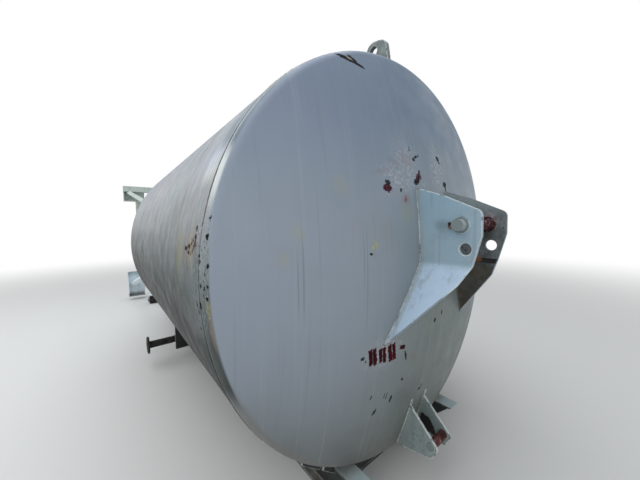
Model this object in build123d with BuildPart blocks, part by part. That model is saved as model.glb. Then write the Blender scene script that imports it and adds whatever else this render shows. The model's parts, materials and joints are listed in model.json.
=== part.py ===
from build123d import *
import math
import os

# Mobile lime silo lying on its carrying rails, the way it rests between two jobs.
# Millimetres. +Z is up, the silo's axis lies along Y, the dished head looks towards -Y.
# The origin is on the ground, under the middle of the whole object.
# Lengths along the silo are counted from a line just in front of the girth seam, heights from its axis.

# Vessel
SHELL_R = 1200.0            # outer radius of the cylindrical shell
SHELL_T = 5.0               # shell plate
SHELL_PLATES = 6            # rolled plates around the shell
SEAM_Y = 60.0               # girth seam between head and shell
HEAD_SKIRT = 49.0           # crease of the head to the girth seam
SHELL_END_Y = 3250.0        # rear edge of the shell, which skirts the cone
HEAD_T = 6.0                # dished head plate
HEAD_RISE = 226.0           # crown of the head in front of its crease
KNUCKLE_R = 55.0            # outer radius of the head's knuckle
SKIRT_LAP = 190.0           # how far the shell runs on past the top of the cone
CONE_HALF_ANGLE = 30.0      # slope of the cone's wall against the axis
CONE_T = 5.0                # cone plate
CONE_PLATES = 4             # plates around the cone

# Outlet spigot and flange
OUTLET_R = 162.0            # outer radius of the outlet spigot
OUTLET_T = 7.0              # spigot wall
OUTLET_LEN = 150.0          # spigot from the cone to the flange's face
OUTLET_FLANGE_R = 222.5     # flange radius
OUTLET_FLANGE_T = 20.0      # flange thickness
OUTLET_PCD = 400.0          # bolt circle
OUTLET_BOLTS = 12           # bolt holes
OUTLET_BOLT_R = 11.0        # bolt hole radius

# Pick-up bracket on the head
HOOK_GAP = 300.0            # clear width between the two bracket plates
HOOK_PLATE_T = 15.0         # bracket plate
HOOK_FOLD_Z = 17.0          # height of the fold between plate and flare
HOOK_FLARE_ANGLE = 32.6     # how far the lower flare leans outwards
HOOK_BAR_R = 28.0           # pick-up bar
HOOK_BAR_Y = -418.0         # pick-up bar
HOOK_BAR_Z = 210.0          # pick-up bar over the axis
HOOK_BAR_STUB = 42.0        # bar beyond each plate
HOOK_COLLAR_R = 38.0        # weld collar round the bar, on both faces of each plate
HOOK_COLLAR_T = 8.0
LOCK_HOLE_R = 28.0          # lock hole under the bar
LOCK_HOLE_Y = -438.0
LOCK_HOLE_Z = 98.0
HOOK_TOP_Z = 413.0          # top edge of the bracket's root
HOOK_ROOT_Y = -180.0        # where the top edge begins to slope
HOOK_BROW_Y = -335.0        # where it slopes more steeply
HOOK_BROW_Z = 356.0
HOOK_TIP_Y = -508.0         # foremost edge of the bracket, and of the whole object
HOOK_TIP_TOP_Z = 272.0      # upper corner of that edge
HOOK_TIP_LOW_Z = 160.0      # lower corner of that edge
HOOK_FOLD_Y = -469.0        # front edge at the fold
HOOK_SHIN_Y = -424.0        # front edge of the flare, below the fold
HOOK_SHIN_Z = -72.0
HOOK_HEEL_Y = -158.0        # lower corner of the flare
HOOK_HEEL_Z = -392.0
HOOK_CORNER_R = 35.0        # rounded corners of the front edge
HOOK_FOLD_R = 12.0          # inner radius of the fold
HOOK_FLARE_LEN = 500.0      # flare below the fold, cut back to the head

# Clevis at the foot of the head
CLEVIS_GAP = 138.0          # clear width between the clevis plates
CLEVIS_T = 12.0             # clevis plate
CLEVIS_PIN_R = 25.0         # clevis pin
CLEVIS_PIN_Y = -226.0
CLEVIS_PIN_Z = -1048.0
CLEVIS_PIN_STUB = 3.0       # pin beyond each plate
CLEVIS_TOP_Z = -790.0       # upper end of the plates, inside the head
CLEVIS_BROW_Y = -90.0       # upper edge of the plates
CLEVIS_BROW_Z = -860.0
CLEVIS_NOSE_Y = -276.0      # foremost corner
CLEVIS_NOSE_Z = -1040.0
CLEVIS_CHIN_Y = -236.0      # corner under the pin
CLEVIS_CHIN_Z = -1114.0
CLEVIS_HEEL_Y = -26.0       # lowest corner
CLEVIS_HEEL_Z = -1165.0
CLEVIS_CORNER_R = 28.0      # rounded nose of the plates

# Lifting lug on top of the shell
LUG_T = 32.0                # lug plate
LUG_HOLE_R = 33.0           # shackle hole
LUG_HOLE_Y = 222.0
LUG_HOLE_OVER = 163.0       # hole centre over the shell
LUG_EYE_R = 60.0            # rounded eye round the hole
LUG_SHOULDER_R = 60.0       # rounded front shoulder
LUG_SHOULDER_Y = 176.0
LUG_SHOULDER_OVER = 150.0
LUG_FRONT_Y = 96.0          # foot of the lug nearest the head
LUG_BACK_Y = 300.0          # foot of the lug furthest from the head
LUG_PAD_T = 10.0            # pad between lug and shell
LUG_PAD_MARGIN = 20.0       # pad beyond the lug plate

# Carrying rails
RAIL_OUTER = 1060.0         # width over both rails
RAIL_W = 100.0              # flange width
RAIL_H = 240.0              # rail height
RAIL_WEB_T = 8.0            # rail web
RAIL_FLANGE_T = 12.0        # rail flanges
RAIL_ROOT_R = 12.0          # fillet between web and flanges
RAIL_FRONT_Y = -107.0       # tip of the rail
RAIL_NOSE_ANGLE = 45.0      # undercut of the rail's nose
RAIL_END_Y = 6290.0         # rear end of the rails

# Saddle plates and cross members
SADDLE_T = 12.0             # saddle plate
SADDLE_FRONT_Y = 84.0       # front saddle, just behind the seam
SADDLE_MIDDLE_Y = 2500.0    # middle saddle
SADDLE_FRONT_HALF = 745.0   # half width of the front saddle
SADDLE_FRONT_DROP = 59.4    # its bottom edge outside the rails, under the rails' top
SADDLE_INNER_DROP = 139.4   # its bottom edge between the rails, under the rails' top
SADDLE_TIP_RISE = 135.6     # its outer lower corner over the rails' top
SADDLE_FRONT_SIDE = 90.0    # height of its outer edge, inside the shell
SADDLE_RAIL_LAP = 30.0      # its slanted edges begin this far behind the rail's flanges
SADDLE_MIDDLE_HALF = 870.0  # half width of the middle saddle
SADDLE_MIDDLE_DROP = 89.4   # its bottom edge under the rails' top
SADDLE_HOLE_R = 16.0        # lashing hole in the front saddle
SADDLE_HOLE_X = 620.0
SADDLE_HOLE_RISE = 45.6     # lashing hole over the rails' top
CROSS_W = 80.0              # cross member along the silo
CROSS_H = 90.0              # cross member height
CROSS_T = 6.0               # cross member wall
CROSS_GROUND = 62.0         # under the cross members
CROSS_Y = (140.0, 1650.0, 3170.0, 6150.0)   # middles of the cross members

# Legs and base frame
LEG_W = 100.0               # square leg
LEG_T = 6.0                 # leg wall
LEG_SKIRT_GAP = 42.0        # leg's outer corner inside the skirt
LEG_HEAD_Y = 3075.0         # top of the legs inside the skirt
BASE_Y = 6300.0             # legs end here, on the foot plates
FOOT_T = 20.0               # foot plate
FOOT_INSET = 100.0          # outer edge of the foot plates inside the shell's side
UPPER_FOOT_DROP = 60.0      # upper edge of the upper foot plates under the shell's top
LOWER_FOOT_LAP = 71.3       # how far the lower foot plates reach up the ends of their legs
LOWER_FOOT_GROUND = 77.6    # under the lower foot plates
LOWER_FOOT_TOE = 84.7       # their lower inner corner outside the leg's inner side
LOWER_FOOT_TOE_H = 90.0     # upright part of their inner edge
FOOT_RIM_T = 12.0           # rim on the outer and one level edge of each foot plate
STRUT_W = 80.0              # square strut from leg to foot plate
STRUT_T = 5.0               # strut wall
STRUT_RUN = 450.0           # strut's reach along the leg
STRUT_REACH = 300.0         # strut's reach outwards from the leg's corner
BEAM_W = 100.0              # base frame beams along the silo, and the lower beam's height
BEAM_T = 6.0                # beam wall
TOP_BEAM_H = 120.0          # height of the upper beam
SIDE_BEAM_W = 70.0          # width of the side beams
POST_W = 80.0               # posts between rails and base frame
POST_T = 6.0

# Rear rollers
ROLLER_R = 80.0             # roller radius
ROLLER_LEN = 180.0
ROLLER_Y = 5600.0           # roller axle
ROLLER_RUN = 0.05           # radial running clearance on the axle
AXLE_R = 25.0
CHEEK_T = 15.0              # bracket cheeks
CHEEK_SIDE_GAP = 8.0        # roller to cheek
CHEEK_RAIL_GAP = 55.0       # rail's flange to the inner cheek
CHEEK_AXLE_LAP = 20.0       # cheek round the axle, at its lower edge
CHEEK_GROUND = 45.0         # under the cheeks
BRACKET_TOP_GAP = 12.0      # roller to the bracket's top plate
AXLE_STUB = 12.0            # axle beyond the outer cheek

# Filling pipe
PIPE_R = 38.0               # outer radius
PIPE_T = 4.0                # wall
PIPE_BEND_R = 114.0         # bend at the shell
PIPE_OVER_RAIL = 20.6       # pipe's middle over the rails' top
PIPE_DROP_X = -775.0        # where the bend rises into the shell
PIPE_RISE = 250.0           # rise of the pipe's middle, cut back to the shell
PIPE_FACE_X = -1145.0       # face of the pipe's flange
PIPE_FLANGE_R = 92.5
PIPE_FLANGE_T = 18.0
PIPE_PCD = 145.0
PIPE_BOLTS = 4
PIPE_BOLT_R = 9.0
PIPE_SADDLE_GAP = 5.0       # pipe behind the middle saddle

SEAT = 0.3                  # gap where a piece seats on a round or slanted one

# Worked out from the sizes above
BACK_Y = BASE_Y + FOOT_T
CREASE_Y = SEAM_Y - HEAD_SKIRT
RIM_Y = -(BACK_Y + HOOK_TIP_Y) / 2
RAIL_INNER = RAIL_OUTER / 2 - RAIL_W
RAIL_MIDDLE = RAIL_OUTER / 2 - RAIL_W / 2
RAIL_TOP = -math.sqrt((SHELL_R + SEAT) ** 2 - RAIL_INNER ** 2)
AXIS_Z = RAIL_H - RAIL_TOP
CONE_TOP_Y = SHELL_END_Y - SKIRT_LAP
CONE_TOP_R = SHELL_R - SHELL_T - SEAT
CONE_SLOPE = math.tan(math.radians(CONE_HALF_ANGLE))
CONE_WALL_R = CONE_T / math.cos(math.radians(CONE_HALF_ANGLE))
CONE_END_Y = CONE_TOP_Y + (CONE_TOP_R - OUTLET_R) / CONE_SLOPE
HEAD_CROWN_R = (SHELL_R ** 2 + HEAD_RISE ** 2) / (2 * HEAD_RISE)
LEG_CORNER = (SHELL_R - SHELL_T - LEG_SKIRT_GAP) / math.sqrt(2)
LEG_MIDDLE = LEG_CORNER - LEG_W / 2
LEG_INNER = LEG_CORNER - LEG_W
FOOT_OUTER = SHELL_R - FOOT_INSET
UPPER_FOOT_EDGE = SHELL_R - UPPER_FOOT_DROP
LOWER_FOOT_TOP = LEG_CORNER - LOWER_FOOT_LAP
LOWER_FOOT_EDGE = AXIS_Z - LOWER_FOOT_GROUND
BEAM_Y = BASE_Y - BEAM_W / 2
HOOK_OUTER = HOOK_GAP / 2 + HOOK_PLATE_T
CLEVIS_OUTER = CLEVIS_GAP / 2 + CLEVIS_T
PIPE_Z = RAIL_TOP + PIPE_OVER_RAIL

SILO_AXIS = Axis((0, 0, AXIS_Z), (0, 1, 0))


def along(x):
    """Plane at x, seen from the side: first length along the silo, then height over the axis."""
    return Plane(origin=(x, RIM_Y, AXIS_Z), x_dir=(0, 1, 0), z_dir=(1, 0, 0))


def across(y):
    """Plane across the silo at length y, facing the head: first X, then height over the axis."""
    return Plane(origin=(0, RIM_Y + y, AXIS_Z), x_dir=(1, 0, 0), z_dir=(0, -1, 0))


def level(z):
    """Level plane at height z over the ground: first X, then length along the silo."""
    return Plane(origin=(0, RIM_Y, z), x_dir=(1, 0, 0), z_dir=(0, 0, 1))


def fan(angle):
    """Plane through the silo's axis, turned by angle: first length, then radius."""
    turn = math.radians(angle)
    return Plane(origin=(0, RIM_Y, AXIS_Z), x_dir=(0, 1, 0), z_dir=(math.sin(turn), 0, -math.cos(turn)))


def save(piece, name):
    piece.part.label = name
    export_step(piece.part, f"parts/{name}.step")


def mirrored(piece, name):
    """The same piece on the other side of the silo."""
    with BuildPart() as twin:
        mirror(piece.part, about=Plane.YZ)
    save(twin, name)


def vessel_form(back_y, grow):
    """Solid form of head and shell from the crown to back_y, with its outer surface moved out by grow."""
    wall = SHELL_R + grow
    crown = HEAD_CROWN_R + grow
    crown_middle = CREASE_Y + HEAD_CROWN_R - HEAD_RISE
    half_way = math.asin(wall / crown) / 2
    crease = (crown_middle - math.sqrt(crown ** 2 - wall ** 2), wall)
    with BuildPart() as form:
        with BuildSketch(along(0)) as half:
            with BuildLine():
                ThreePointArc(
                    (crown_middle - crown, 0),
                    (crown_middle - crown * math.cos(half_way), crown * math.sin(half_way)),
                    crease,
                )
                Polyline(crease, (back_y, wall), (back_y, 0), (crown_middle - crown, 0))
            make_face()
            fillet(half.vertices().sort_by_distance((*crease, 0))[0], KNUCKLE_R + grow)
        revolve(axis=SILO_AXIS)
    return form.part


def strut_side(wall):
    """Outline of a foot's strut on the diagonal, from inside the leg to the plate, less its wall all round."""
    length = math.hypot(STRUT_RUN, STRUT_REACH)
    at_leg = (STRUT_W / 2 - wall) * length / STRUT_REACH
    at_foot = (STRUT_W / 2 - wall) * length / STRUT_RUN
    inside = -LEG_W / 2
    start = STRUT_RUN * (1 - inside / STRUT_REACH)
    return [
        (inside, start + at_leg),
        (inside, start - at_leg),
        (STRUT_REACH - at_foot, 0),
        (STRUT_REACH + at_foot, 0),
    ]


os.makedirs("parts", exist_ok=True)

# Outer form of head and shell, one seat gap larger: what stands on the vessel is cut back to it
vessel_outside = vessel_form(SHELL_END_Y, SEAT)

# Dished head: crown, knuckle and a short straight skirt up to the girth seam
with BuildPart() as dished_head:
    add(vessel_form(SEAM_Y, 0))
    add(vessel_form(SEAM_Y + HEAD_T, -HEAD_T), mode=Mode.SUBTRACT)
save(dished_head, "dished_head")

# Shell: rolled plates side by side round the axis
plate_angle = 360 / SHELL_PLATES
for number in range(SHELL_PLATES):
    with BuildPart() as shell_plate:
        with BuildSketch(fan(number * plate_angle - plate_angle / 2)):
            with BuildLine():
                Polyline(
                    (SEAM_Y, SHELL_R - SHELL_T),
                    (SHELL_END_Y, SHELL_R - SHELL_T),
                    (SHELL_END_Y, SHELL_R),
                    (SEAM_Y, SHELL_R),
                    close=True,
                )
            make_face()
        revolve(axis=SILO_AXIS, revolution_arc=-plate_angle)
    save(shell_plate, f"shell_plate_{number + 1}")

# Cone: plates side by side, skirted by the rear edge of the shell
cone_angle = 360 / CONE_PLATES
for number in range(CONE_PLATES):
    with BuildPart() as cone_plate:
        with BuildSketch(fan(number * cone_angle)):
            with BuildLine():
                Polyline(
                    (CONE_TOP_Y, CONE_TOP_R),
                    (CONE_END_Y, OUTLET_R),
                    (CONE_END_Y, OUTLET_R - CONE_WALL_R),
                    (CONE_TOP_Y, CONE_TOP_R - CONE_WALL_R),
                    close=True,
                )
            make_face()
        revolve(axis=SILO_AXIS, revolution_arc=-cone_angle)
    save(cone_plate, f"cone_plate_{number + 1}")

# Outlet: spigot with a bolted flange
with BuildPart() as outlet:
    with BuildSketch(across(CONE_END_Y)):
        Circle(OUTLET_R)
        Circle(OUTLET_R - OUTLET_T, mode=Mode.SUBTRACT)
    extrude(amount=-OUTLET_LEN)
    with BuildSketch(across(CONE_END_Y + OUTLET_LEN)):
        Circle(OUTLET_FLANGE_R)
        Circle(OUTLET_R - OUTLET_T, mode=Mode.SUBTRACT)
        with PolarLocations(OUTLET_PCD / 2, OUTLET_BOLTS, start_angle=180 / OUTLET_BOLTS):
            Circle(OUTLET_BOLT_R, mode=Mode.SUBTRACT)
    extrude(amount=OUTLET_FLANGE_T)
save(outlet, "outlet")

# Pick-up bracket: a thick plate folded so that its lower part flares outwards to the head
flare_turn = math.radians(HOOK_FLARE_ANGLE)
flare_end = (
    -HOOK_OUTER - HOOK_FLARE_LEN * math.sin(flare_turn),
    HOOK_FOLD_Z - HOOK_FLARE_LEN * math.cos(flare_turn),
)
with BuildPart() as hook_plate_left:
    with BuildSketch(across(HOOK_TIP_Y)) as folded_section:
        with BuildLine():
            Polyline(
                (-HOOK_OUTER, HOOK_TOP_Z),
                (-HOOK_OUTER, HOOK_FOLD_Z),
                flare_end,
                (
                    flare_end[0] + HOOK_PLATE_T * math.cos(flare_turn),
                    flare_end[1] - HOOK_PLATE_T * math.sin(flare_turn),
                ),
                (-HOOK_GAP / 2, HOOK_FOLD_Z - HOOK_PLATE_T * math.tan(flare_turn / 2)),
                (-HOOK_GAP / 2, HOOK_TOP_Z),
                close=True,
            )
        make_face()
        fold_line = folded_section.vertices().sort_by(Axis.Y)[2:4].sort_by(Axis.X)
        fillet(fold_line[0], HOOK_FOLD_R)
        fillet(fold_line[1], HOOK_FOLD_R + HOOK_PLATE_T)
    extrude(amount=HOOK_TIP_Y)
    with BuildSketch(along(-SHELL_R)) as side_outline:
        with BuildLine():
            Polyline(
                (0, HOOK_TOP_Z),
                (HOOK_ROOT_Y, HOOK_TOP_Z),
                (HOOK_BROW_Y, HOOK_BROW_Z),
                (HOOK_TIP_Y, HOOK_TIP_TOP_Z),
                (HOOK_TIP_Y, HOOK_TIP_LOW_Z),
                (HOOK_FOLD_Y, HOOK_FOLD_Z),
                (HOOK_SHIN_Y, HOOK_SHIN_Z),
                (HOOK_HEEL_Y, HOOK_HEEL_Z),
                (0, HOOK_HEEL_Z),
                close=True,
            )
        make_face()
        fillet(side_outline.vertices().sort_by(Axis.X)[:2], HOOK_CORNER_R)
        with Locations((HOOK_BAR_Y, HOOK_BAR_Z)):
            Circle(HOOK_BAR_R + SEAT, mode=Mode.SUBTRACT)
        with Locations((LOCK_HOLE_Y, LOCK_HOLE_Z)):
            Circle(LOCK_HOLE_R, mode=Mode.SUBTRACT)
    extrude(amount=SHELL_R, mode=Mode.INTERSECT)
    add(vessel_outside, mode=Mode.SUBTRACT)
save(hook_plate_left, "hook_plate_left")
mirrored(hook_plate_left, "hook_plate_right")

# Pick-up bar through both plates, with a weld collar on either face of each
bar_reach = HOOK_OUTER + HOOK_BAR_STUB
with BuildPart() as hook_bar:
    with BuildSketch(along(-bar_reach)):
        with Locations((HOOK_BAR_Y, HOOK_BAR_Z)):
            Circle(HOOK_BAR_R)
    extrude(amount=2 * bar_reach)
    for face_x in (-HOOK_OUTER - HOOK_COLLAR_T, -HOOK_GAP / 2, HOOK_GAP / 2 - HOOK_COLLAR_T, HOOK_OUTER):
        with BuildSketch(along(face_x)):
            with Locations((HOOK_BAR_Y, HOOK_BAR_Z)):
                Circle(HOOK_COLLAR_R)
        extrude(amount=HOOK_COLLAR_T)
save(hook_bar, "hook_bar")

# Clevis at the foot of the head: two plates with a rounded nose, and the pin between them
with BuildPart() as clevis_plate_left:
    with BuildSketch(along(-CLEVIS_OUTER)) as clevis_face:
        with BuildLine():
            Polyline(
                (SEAM_Y, CLEVIS_TOP_Z),
                (CLEVIS_BROW_Y, CLEVIS_BROW_Z),
                (CLEVIS_NOSE_Y, CLEVIS_NOSE_Z),
                (CLEVIS_CHIN_Y, CLEVIS_CHIN_Z),
                (CLEVIS_HEEL_Y, CLEVIS_HEEL_Z),
                (SEAM_Y, CLEVIS_HEEL_Z),
                close=True,
            )
        make_face()
        fillet(clevis_face.vertices().sort_by(Axis.X)[:2], CLEVIS_CORNER_R)
        with Locations((CLEVIS_PIN_Y, CLEVIS_PIN_Z)):
            Circle(CLEVIS_PIN_R + SEAT, mode=Mode.SUBTRACT)
    extrude(amount=CLEVIS_T)
    add(vessel_outside, mode=Mode.SUBTRACT)
save(clevis_plate_left, "clevis_plate_left")
mirrored(clevis_plate_left, "clevis_plate_right")

pin_reach = CLEVIS_OUTER + CLEVIS_PIN_STUB
with BuildPart() as clevis_pin:
    with BuildSketch(along(-pin_reach)):
        with Locations((CLEVIS_PIN_Y, CLEVIS_PIN_Z)):
            Circle(CLEVIS_PIN_R)
    extrude(amount=2 * pin_reach)
save(clevis_pin, "clevis_pin")

# Lifting lug: a thick eye plate on a curved pad
with BuildPart() as lifting_lug:
    with BuildSketch(across(LUG_FRONT_Y - LUG_PAD_MARGIN)):
        Circle(SHELL_R + SEAT + LUG_PAD_T)
        Circle(SHELL_R + SEAT, mode=Mode.SUBTRACT)
        with Locations((0, SHELL_R)):
            Rectangle(LUG_T + 2 * LUG_PAD_MARGIN, 2 * SHELL_R, mode=Mode.INTERSECT)
    extrude(amount=-(LUG_BACK_Y - LUG_FRONT_Y + 2 * LUG_PAD_MARGIN))
    with BuildSketch(along(-LUG_T / 2)):
        with Locations((LUG_HOLE_Y, SHELL_R + LUG_HOLE_OVER)):
            Circle(LUG_EYE_R)
        with Locations((LUG_SHOULDER_Y, SHELL_R + LUG_SHOULDER_OVER)):
            Circle(LUG_SHOULDER_R)
        with Locations(((LUG_FRONT_Y + LUG_BACK_Y) / 2, SHELL_R + LUG_PAD_T / 2)):
            Rectangle(LUG_BACK_Y - LUG_FRONT_Y, LUG_PAD_T)
        make_hull()
        with Locations((LUG_HOLE_Y, SHELL_R + LUG_HOLE_OVER)):
            Circle(LUG_HOLE_R, mode=Mode.SUBTRACT)
    extrude(amount=LUG_T)
    add(vessel_outside, mode=Mode.SUBTRACT)
save(lifting_lug, "lifting_lug")

# Carrying rails: rolled beams whose front ends are cut to a sledge nose
nose_run = RAIL_H / math.tan(math.radians(RAIL_NOSE_ANGLE))
with BuildPart() as rail_left:
    with BuildSketch(across(RAIL_END_Y)):
        with Locations((-RAIL_MIDDLE, RAIL_TOP - RAIL_H / 2)):
            Rectangle(RAIL_W, RAIL_H)
        for side in (-1, 1):
            pocket_w = (RAIL_W - RAIL_WEB_T) / 2
            with Locations((-RAIL_MIDDLE + side * (RAIL_WEB_T + pocket_w) / 2, RAIL_TOP - RAIL_H / 2)):
                Rectangle(pocket_w, RAIL_H - 2 * RAIL_FLANGE_T, mode=Mode.SUBTRACT)
    extrude(amount=RAIL_END_Y - RAIL_FRONT_Y)
    roots = rail_left.edges().filter_by(Axis.Y).filter_by(
        lambda edge: abs(abs(edge.center().X + RAIL_MIDDLE) - RAIL_WEB_T / 2) < 0.1
    )
    fillet(roots, RAIL_ROOT_R)
    with BuildSketch(along(-RAIL_OUTER / 2)):
        with BuildLine():
            Polyline(
                (RAIL_FRONT_Y, RAIL_TOP),
                (RAIL_FRONT_Y + nose_run, RAIL_TOP - RAIL_H),
                (RAIL_FRONT_Y, RAIL_TOP - RAIL_H),
                close=True,
            )
        make_face()
    extrude(amount=RAIL_W, mode=Mode.SUBTRACT)
save(rail_left, "rail_left")
mirrored(rail_left, "rail_right")

# Saddle plates: cut to the shell above and notched over the rails
with BuildPart() as saddle_front:
    with BuildSketch(across(SADDLE_FRONT_Y)):
        with BuildLine():
            Polyline(
                (-SADDLE_FRONT_HALF, RAIL_TOP + SADDLE_TIP_RISE + SADDLE_FRONT_SIDE),
                (-SADDLE_FRONT_HALF, RAIL_TOP + SADDLE_TIP_RISE),
                (-RAIL_OUTER / 2 + SADDLE_RAIL_LAP, RAIL_TOP - SADDLE_FRONT_DROP),
                (-RAIL_INNER - SADDLE_RAIL_LAP, RAIL_TOP - SADDLE_INNER_DROP),
                (RAIL_INNER + SADDLE_RAIL_LAP, RAIL_TOP - SADDLE_INNER_DROP),
                (RAIL_OUTER / 2 - SADDLE_RAIL_LAP, RAIL_TOP - SADDLE_FRONT_DROP),
                (SADDLE_FRONT_HALF, RAIL_TOP + SADDLE_TIP_RISE),
                (SADDLE_FRONT_HALF, RAIL_TOP + SADDLE_TIP_RISE + SADDLE_FRONT_SIDE),
                close=True,
            )
        make_face()
        for hole_x in (-SADDLE_HOLE_X, SADDLE_HOLE_X):
            with Locations((hole_x, RAIL_TOP + SADDLE_HOLE_RISE)):
                Circle(SADDLE_HOLE_R, mode=Mode.SUBTRACT)
        with Locations((-RAIL_MIDDLE, RAIL_TOP - RAIL_H / 2), (RAIL_MIDDLE, RAIL_TOP - RAIL_H / 2)):
            Rectangle(RAIL_W + 2 * SEAT, RAIL_H + 2 * SEAT, mode=Mode.SUBTRACT)
    extrude(amount=-SADDLE_T)
    add(vessel_outside, mode=Mode.SUBTRACT)
save(saddle_front, "saddle_front")

with BuildPart() as saddle_middle:
    with BuildSketch(across(SADDLE_MIDDLE_Y)):
        with Locations((0, RAIL_TOP - SADDLE_MIDDLE_DROP)):
            Rectangle(2 * SADDLE_MIDDLE_HALF, SHELL_R, align=(Align.CENTER, Align.MIN))
        with Locations((-RAIL_MIDDLE, RAIL_TOP - RAIL_H / 2), (RAIL_MIDDLE, RAIL_TOP - RAIL_H / 2)):
            Rectangle(RAIL_W + 2 * SEAT, RAIL_H + 2 * SEAT, mode=Mode.SUBTRACT)
    extrude(amount=-SADDLE_T)
    add(vessel_outside, mode=Mode.SUBTRACT)
save(saddle_middle, "saddle_middle")

# Cross members between the rails
for number, middle_y in enumerate(CROSS_Y):
    with BuildPart() as cross_member:
        with BuildSketch(along(-RAIL_MIDDLE + RAIL_WEB_T / 2 + SEAT)):
            with Locations((middle_y, CROSS_GROUND + CROSS_H / 2 - AXIS_Z)):
                Rectangle(CROSS_W, CROSS_H)
                Rectangle(CROSS_W - 2 * CROSS_T, CROSS_H - 2 * CROSS_T, mode=Mode.SUBTRACT)
        extrude(amount=2 * RAIL_MIDDLE - RAIL_WEB_T - 2 * SEAT)
    save(cross_member, f"cross_member_{number + 1}")

# Legs: square tubes that start between skirt and cone, on the four diagonals
with BuildPart() as cone_outside:
    with BuildSketch(along(0)):
        with BuildLine():
            Polyline(
                (SEAM_Y, 0),
                (SEAM_Y, CONE_TOP_R + SEAT),
                (CONE_TOP_Y, CONE_TOP_R + SEAT),
                (CONE_END_Y, OUTLET_R + SEAT),
                (CONE_END_Y, 0),
                close=True,
            )
        make_face()
    revolve(axis=SILO_AXIS)

corners = {"upper_left": (-1, 1), "upper_right": (1, 1), "lower_left": (-1, -1), "lower_right": (1, -1)}
for corner, (side, rise) in corners.items():
    with BuildPart() as leg:
        with BuildSketch(across(BASE_Y)):
            with Locations((side * LEG_MIDDLE, rise * LEG_MIDDLE)):
                Rectangle(LEG_W, LEG_W)
                Rectangle(LEG_W - 2 * LEG_T, LEG_W - 2 * LEG_T, mode=Mode.SUBTRACT)
        extrude(amount=BASE_Y - LEG_HEAD_Y)
        add(cone_outside.part, mode=Mode.SUBTRACT)
    save(leg, f"leg_{corner}")

# Feet: a plate across each leg's end, rimmed on two edges, with a square strut on the diagonal
upper_foot = (
    (FOOT_OUTER, LEG_CORNER + SEAT),
    (FOOT_OUTER, UPPER_FOOT_EDGE),
    (LEG_INNER, UPPER_FOOT_EDGE),
    (LEG_INNER, LEG_INNER),
    (LEG_CORNER, LEG_INNER),
    (LEG_CORNER, LEG_CORNER + SEAT),
)
lower_foot = (
    (FOOT_OUTER, LOWER_FOOT_EDGE),
    (FOOT_OUTER, LOWER_FOOT_TOP),
    (LEG_INNER, LOWER_FOOT_TOP),
    (LEG_INNER, LEG_CORNER),
    (LEG_INNER + LOWER_FOOT_TOE, LOWER_FOOT_EDGE - LOWER_FOOT_TOE_H),
    (LEG_INNER + LOWER_FOOT_TOE, LOWER_FOOT_EDGE),
)
for corner, (side, rise) in corners.items():
    outline = upper_foot if rise > 0 else lower_foot
    rim_z, end_z = outline[0][1], outline[1][1]
    rim_end_x = outline[-1][0]
    rim_inner_z = rim_z + math.copysign(FOOT_RIM_T, end_z - rim_z)
    rim = (
        (FOOT_OUTER, rim_z),
        (FOOT_OUTER, end_z),
        (FOOT_OUTER - FOOT_RIM_T, end_z),
        (FOOT_OUTER - FOOT_RIM_T, rim_inner_z),
        (rim_end_x, rim_inner_z),
        (rim_end_x, rim_z),
    )
    diagonal = Plane(
        origin=(side * LEG_CORNER, RIM_Y + BASE_Y, AXIS_Z + rise * LEG_CORNER),
        x_dir=(side, 0, rise),
        z_dir=(rise, 0, -side),
    )
    with BuildPart() as foot:
        for wall, change in ((0, Mode.ADD), (STRUT_T, Mode.SUBTRACT)):
            with BuildSketch(diagonal):
                with BuildLine():
                    Polyline(*strut_side(wall), close=True)
                make_face()
            extrude(amount=STRUT_W / 2 - wall, both=True, mode=change)
        with BuildSketch(across(BASE_Y)):
            with Locations((side * LEG_MIDDLE, rise * LEG_MIDDLE)):
                Rectangle(LEG_W + 2 * SEAT, LEG_W + 2 * SEAT)
        extrude(amount=BASE_Y - LEG_HEAD_Y, mode=Mode.SUBTRACT)
        with BuildSketch(across(BASE_Y)):
            with Locations((0, UPPER_FOOT_EDGE - TOP_BEAM_H / 2)):
                Rectangle(2 * FOOT_OUTER, TOP_BEAM_H + 2 * SEAT)
        extrude(amount=BEAM_W + SEAT, mode=Mode.SUBTRACT)
        for face_y, points, thick in ((BACK_Y, outline, FOOT_T), (BASE_Y, rim, BEAM_W)):
            with BuildSketch(across(face_y)):
                with BuildLine():
                    Polyline(*[(side * x, rise * z) for x, z in points], close=True)
                make_face()
            extrude(amount=thick)
    save(foot, f"foot_{corner}")

# Base frame: beams across between the feet and between the lower legs, beams beside the legs
beams = {
    "top": (0, UPPER_FOOT_EDGE - TOP_BEAM_H / 2, 2 * (FOOT_OUTER - FOOT_RIM_T), TOP_BEAM_H),
    "bottom": (0, -LEG_MIDDLE, 2 * LEG_INNER, BEAM_W),
}
for name, (middle_x, middle_z, beam_len, beam_h) in beams.items():
    with BuildPart() as base_beam:
        with BuildSketch(along(-beam_len / 2)):
            with Locations((BEAM_Y, middle_z)):
                Rectangle(BEAM_W, beam_h)
                Rectangle(BEAM_W - 2 * BEAM_T, beam_h - 2 * BEAM_T, mode=Mode.SUBTRACT)
        extrude(amount=beam_len)
    save(base_beam, f"base_beam_{name}")

with BuildPart() as base_beam_left:
    with BuildSketch(level(AXIS_Z - LOWER_FOOT_TOP)):
        with Locations((-LEG_CORNER - SIDE_BEAM_W / 2, BEAM_Y)):
            Rectangle(SIDE_BEAM_W, BEAM_W)
            Rectangle(SIDE_BEAM_W - 2 * BEAM_T, BEAM_W - 2 * BEAM_T, mode=Mode.SUBTRACT)
    extrude(amount=LEG_CORNER + LOWER_FOOT_TOP)
save(base_beam_left, "base_beam_left")
mirrored(base_beam_left, "base_beam_right")

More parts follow.
